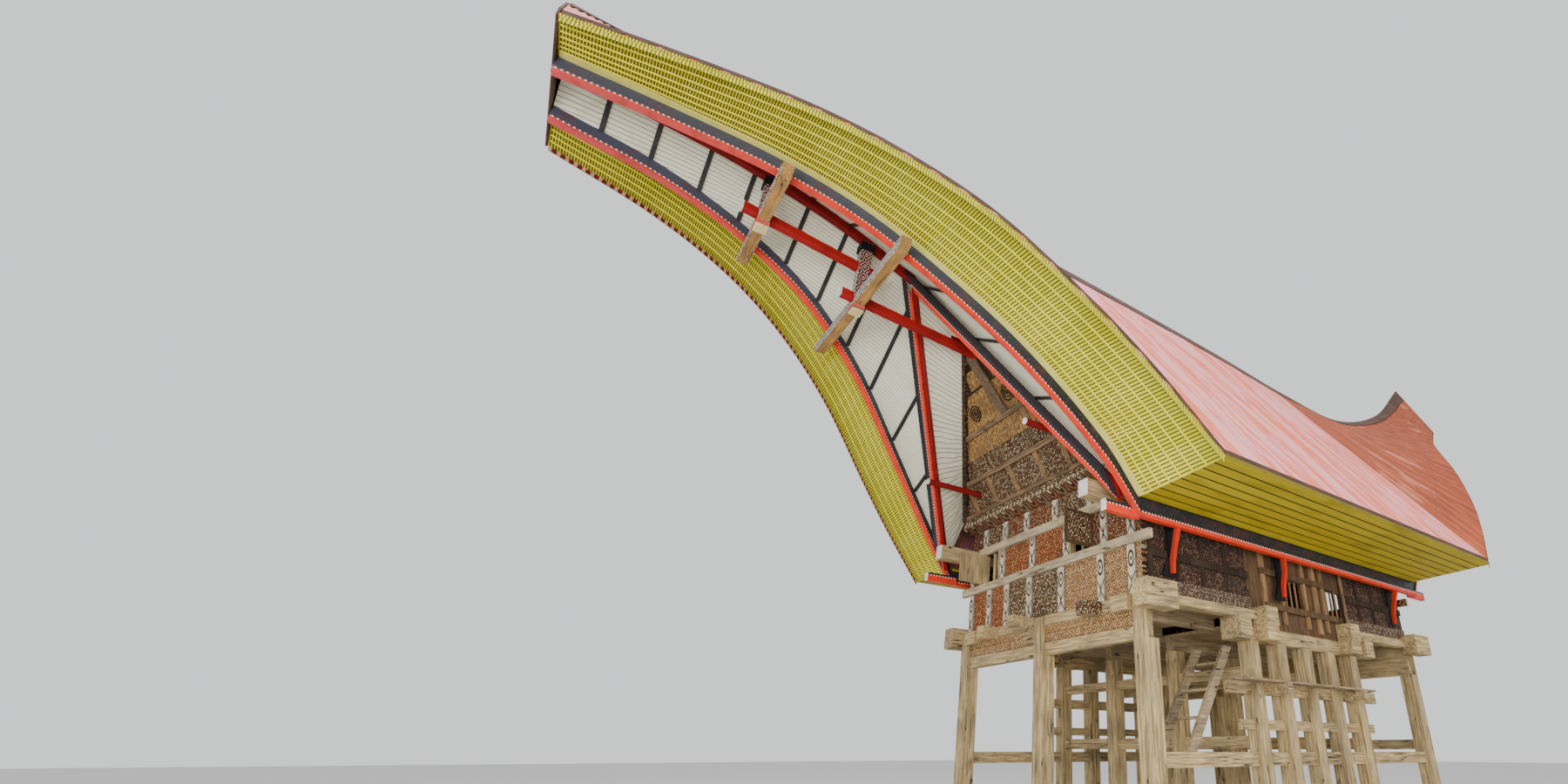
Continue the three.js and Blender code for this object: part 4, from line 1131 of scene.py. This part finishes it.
def beam_ends(white, red):
    """Lime white ends of the wall plates, and the round rods and peak stubs with their white ends."""
    both = (-1, 1)
    plates = [block(*sorted((side * 1.74, side * 1.92)), -0.806, -0.8005, 4.02, 4.24, 0.002) for side in both]
    rods, ends = ([round_bar((side * 1.33, y0, 5.09), (side * 1.33, y1, 5.09), radius) for side in both]
                  for y0, y1, radius in ((-1.347, -0.36, 0.0475), (-1.372, -1.347, 0.049)))
    stubs = [block(side * 0.12 - 0.035, side * 0.12 + 0.035, -1.80, -1.44, 6.97, 7.04, 0.006) for side in both]
    tips = [block(side * 0.12 - 0.038, side * 0.12 + 0.038, -1.83, -1.80, 6.967, 7.043, 0.005) for side in both]
    spread(ENDS, plates, "wall_plate_ends", white)
    spread(ENDS, rods, "red_rods", red, "", 30)
    spread(ENDS, ends, "rod_ends", white, "", 30)
    spread(ENDS, stubs, "peak_stubs", red)
    spread(ENDS, tips, "peak_stub_ends", white)


wood_up = weathered("weathered_upright", "z")
row_posts = [BAY + 0.64 * k + FRONT for k in range(5)]
wood_row = weathered("weathered_side_row", "z", ties=("y", row_posts, 0.1005))
wood_inner = weathered("weathered_inner_frames", "z", ties=("x", (-0.68, 0.68), 0.1005))
wood_back = weathered("weathered_back_posts", "z", ties=("x", (-POST_X, 0.0, POST_X), 0.1055))
# Near-black wood: partly the dark wood itself, partly painted shade of the side eave, darkened into its colours
shaded_near_black = weathered("near_black_wood", "z", (0.060, 0.034, 0.020), (0.014, 0.009, 0.006))
rail_wood = weathered("rail_wood", "x", (0.80, 0.68, 0.44), (0.36, 0.26, 0.14))
timber = weathered("light_timber", "x", (0.62, 0.34, 0.11), (0.36, 0.18, 0.05))
brown_studs = weathered("brown_studs", "z", (0.46, 0.27, 0.12), (0.15, 0.085, 0.035))
gable_beam_wood = weathered("gable_beams", "x", (0.36, 0.23, 0.12), (0.10, 0.06, 0.035))
plank_brown = weathered("slanting_plank", "z", (0.30, 0.20, 0.12), (0.09, 0.055, 0.03))
dark_wood = weathered("dark_boards", "z", (0.17, 0.095, 0.045), (0.035, 0.020, 0.012))

orange_panel = carved_board("red_brown_carving", (0.060, 0.016, 0.008), (0.46, 0.12, 0.030), 0.13,
                            (0.66, 0.34, 0.15), 0.5)
brown_panel = carved_board("brown_carving", (0.045, 0.016, 0.009), (0.28, 0.085, 0.03), 0.13, (0.58, 0.37, 0.20))
dark_panel = carved_board("dark_carving", (0.035, 0.018, 0.012), (0.20, 0.095, 0.04), 0.14, (0.68, 0.55, 0.34))
gable_rows = carved_board("gable_row_carving", (0.030, 0.016, 0.010), (0.17, 0.085, 0.04), 0.125,
                          (0.60, 0.47, 0.28), 0.4)
faded_panel = carved_board("faded_carving", (0.16, 0.068, 0.026), (0.52, 0.28, 0.105), 0.12, (0.74, 0.57, 0.33))
# Side carving: partly the wood's own dark brown, partly painted shade of the side eave, darkened into its colours;
# it is also used on the gable borders
shaded_side_panel = carved_board("side_carving", (0.010, 0.006, 0.005), (0.060, 0.026, 0.018), 0.12,
                          (0.24, 0.14, 0.09), 0.5)
strip_panel = carved_board("side_strip_carving", (0.035, 0.020, 0.014), (0.17, 0.085, 0.05), 0.095,
                           (0.50, 0.40, 0.29))

red_paint = painted("red_paint", (0.60, 0.035, 0.014), (0.28, 0.03, 0.018), "y")
dark_red = painted("dark_red_paint", (0.24, 0.012, 0.013), (0.13, 0.011, 0.010), "y")
bright_red = painted("bright_red_paint", (0.36, 0.014, 0.015), (0.20, 0.012, 0.011), "y")
batten_paint = painted("batten_paint", (0.95, 0.85, 0.07), (0.84, 0.72, 0.05), "y")
plain_strip = painted("plain_strip", (0.86, 0.80, 0.20), (0.72, 0.66, 0.12), "y")
batten_dark = painted("dark_battens", (0.035, 0.034, 0.034), (0.07, 0.06, 0.05))
cream_paint = painted("cream_paint", (0.84, 0.70, 0.34), (0.62, 0.48, 0.22))
black_paint = painted("black_paint", (0.009, 0.010, 0.012), (0.028, 0.027, 0.027), "z")
white = lime_white("lime_white")
ridge_metal = dull_metal("ridge_metal", (0.055, 0.028, 0.020), (0.10, 0.05, 0.035))

camera()
light()
floor()

finish_nodes(wood_up, "post_front")
finish_nodes(wood_back, "posts_back")
finish_nodes(wood_row, "post_row")
finish_nodes(wood_inner, "post_frame_inner")
finish_nodes(weathered("weathered_across", "x"), "sill_front", "sill_back")
finish_nodes(weathered("weathered_along", "y"), "sill_right", "sill_left", "wall_plate")
finish_nodes(weathered("worn_planks", "y", (0.54, 0.41, 0.23), (0.20, 0.14, 0.08)), "floor", "stair", "side_planks")
finish_nodes(carved("carved_front", "x"), "wall_front", "wall_back", "gable_front", "gable_back")
# The long walls' carving: partly the dark wood itself, partly painted shade under the side eave, darkened into its
# ground and lines
finish_nodes(carved("carved_side", "y", (0.018, 0.011, 0.008), (0.12, 0.055, 0.03)), "wall_side_front",
             "wall_side_back")
finish_nodes(weathered("brown_boards", "z", (0.19, 0.105, 0.048), (0.050, 0.028, 0.016)), "wall_side_middle")
finish_nodes(bright_red, "gable_frame")
finish_nodes(slatted_ceiling("cream_slats"), "gable_soffit", "ceiling")
finish_nodes(boarded_soffit("olive_boards"), "soffit")
finish_nodes(ridge_metal, "prow_end")

eave_boards(dotted("dotted_eave_board", 0.062, BOARD_H), black_paint, red_paint)
ceiling_battens(batten_dark)
frame_boards(dotted("dotted_frame_board", 0.100, FACING))
prow_truss(diamond_carving("diamond_carving"), speckled_carving("speckled_carving"), timber, bright_red, dark_red,
           white, striped_band("striped_band"), black_paint, cream_paint)
gable_carving(gable_rows, brown_studs, gable_beam_wood, shaded_side_panel, smooth_boards("gable_boards"), shaded_near_black,
              plank_brown)
front_carving(orange_panel, dark_panel, faded_panel, brown_panel, stud_paint("lime_and_black_studs"), wood_up,
              rail_wood)
shutters(dark_panel, dark_wood, wood_up)
eave_beam_heads(dotted("dotted_beam_head", 0.100, 0.14), white)
side_carving(shaded_side_panel, shaded_near_black, strip_panel, brown_studs)
beam_ends(white, dark_red)
roof_sheets(roof_sheet("faded_corrugated_sheet"))
ridge_cover(ridge_metal)
edge_teeth(ridge_metal)
edge_bands(slatted_band("yellow_slats"), batten_paint, plain_strip, ticked_paint("drip_edge_paint"))
edge_boards(dotted("dotted_edge_board", 0.055, BOARD_H, True))
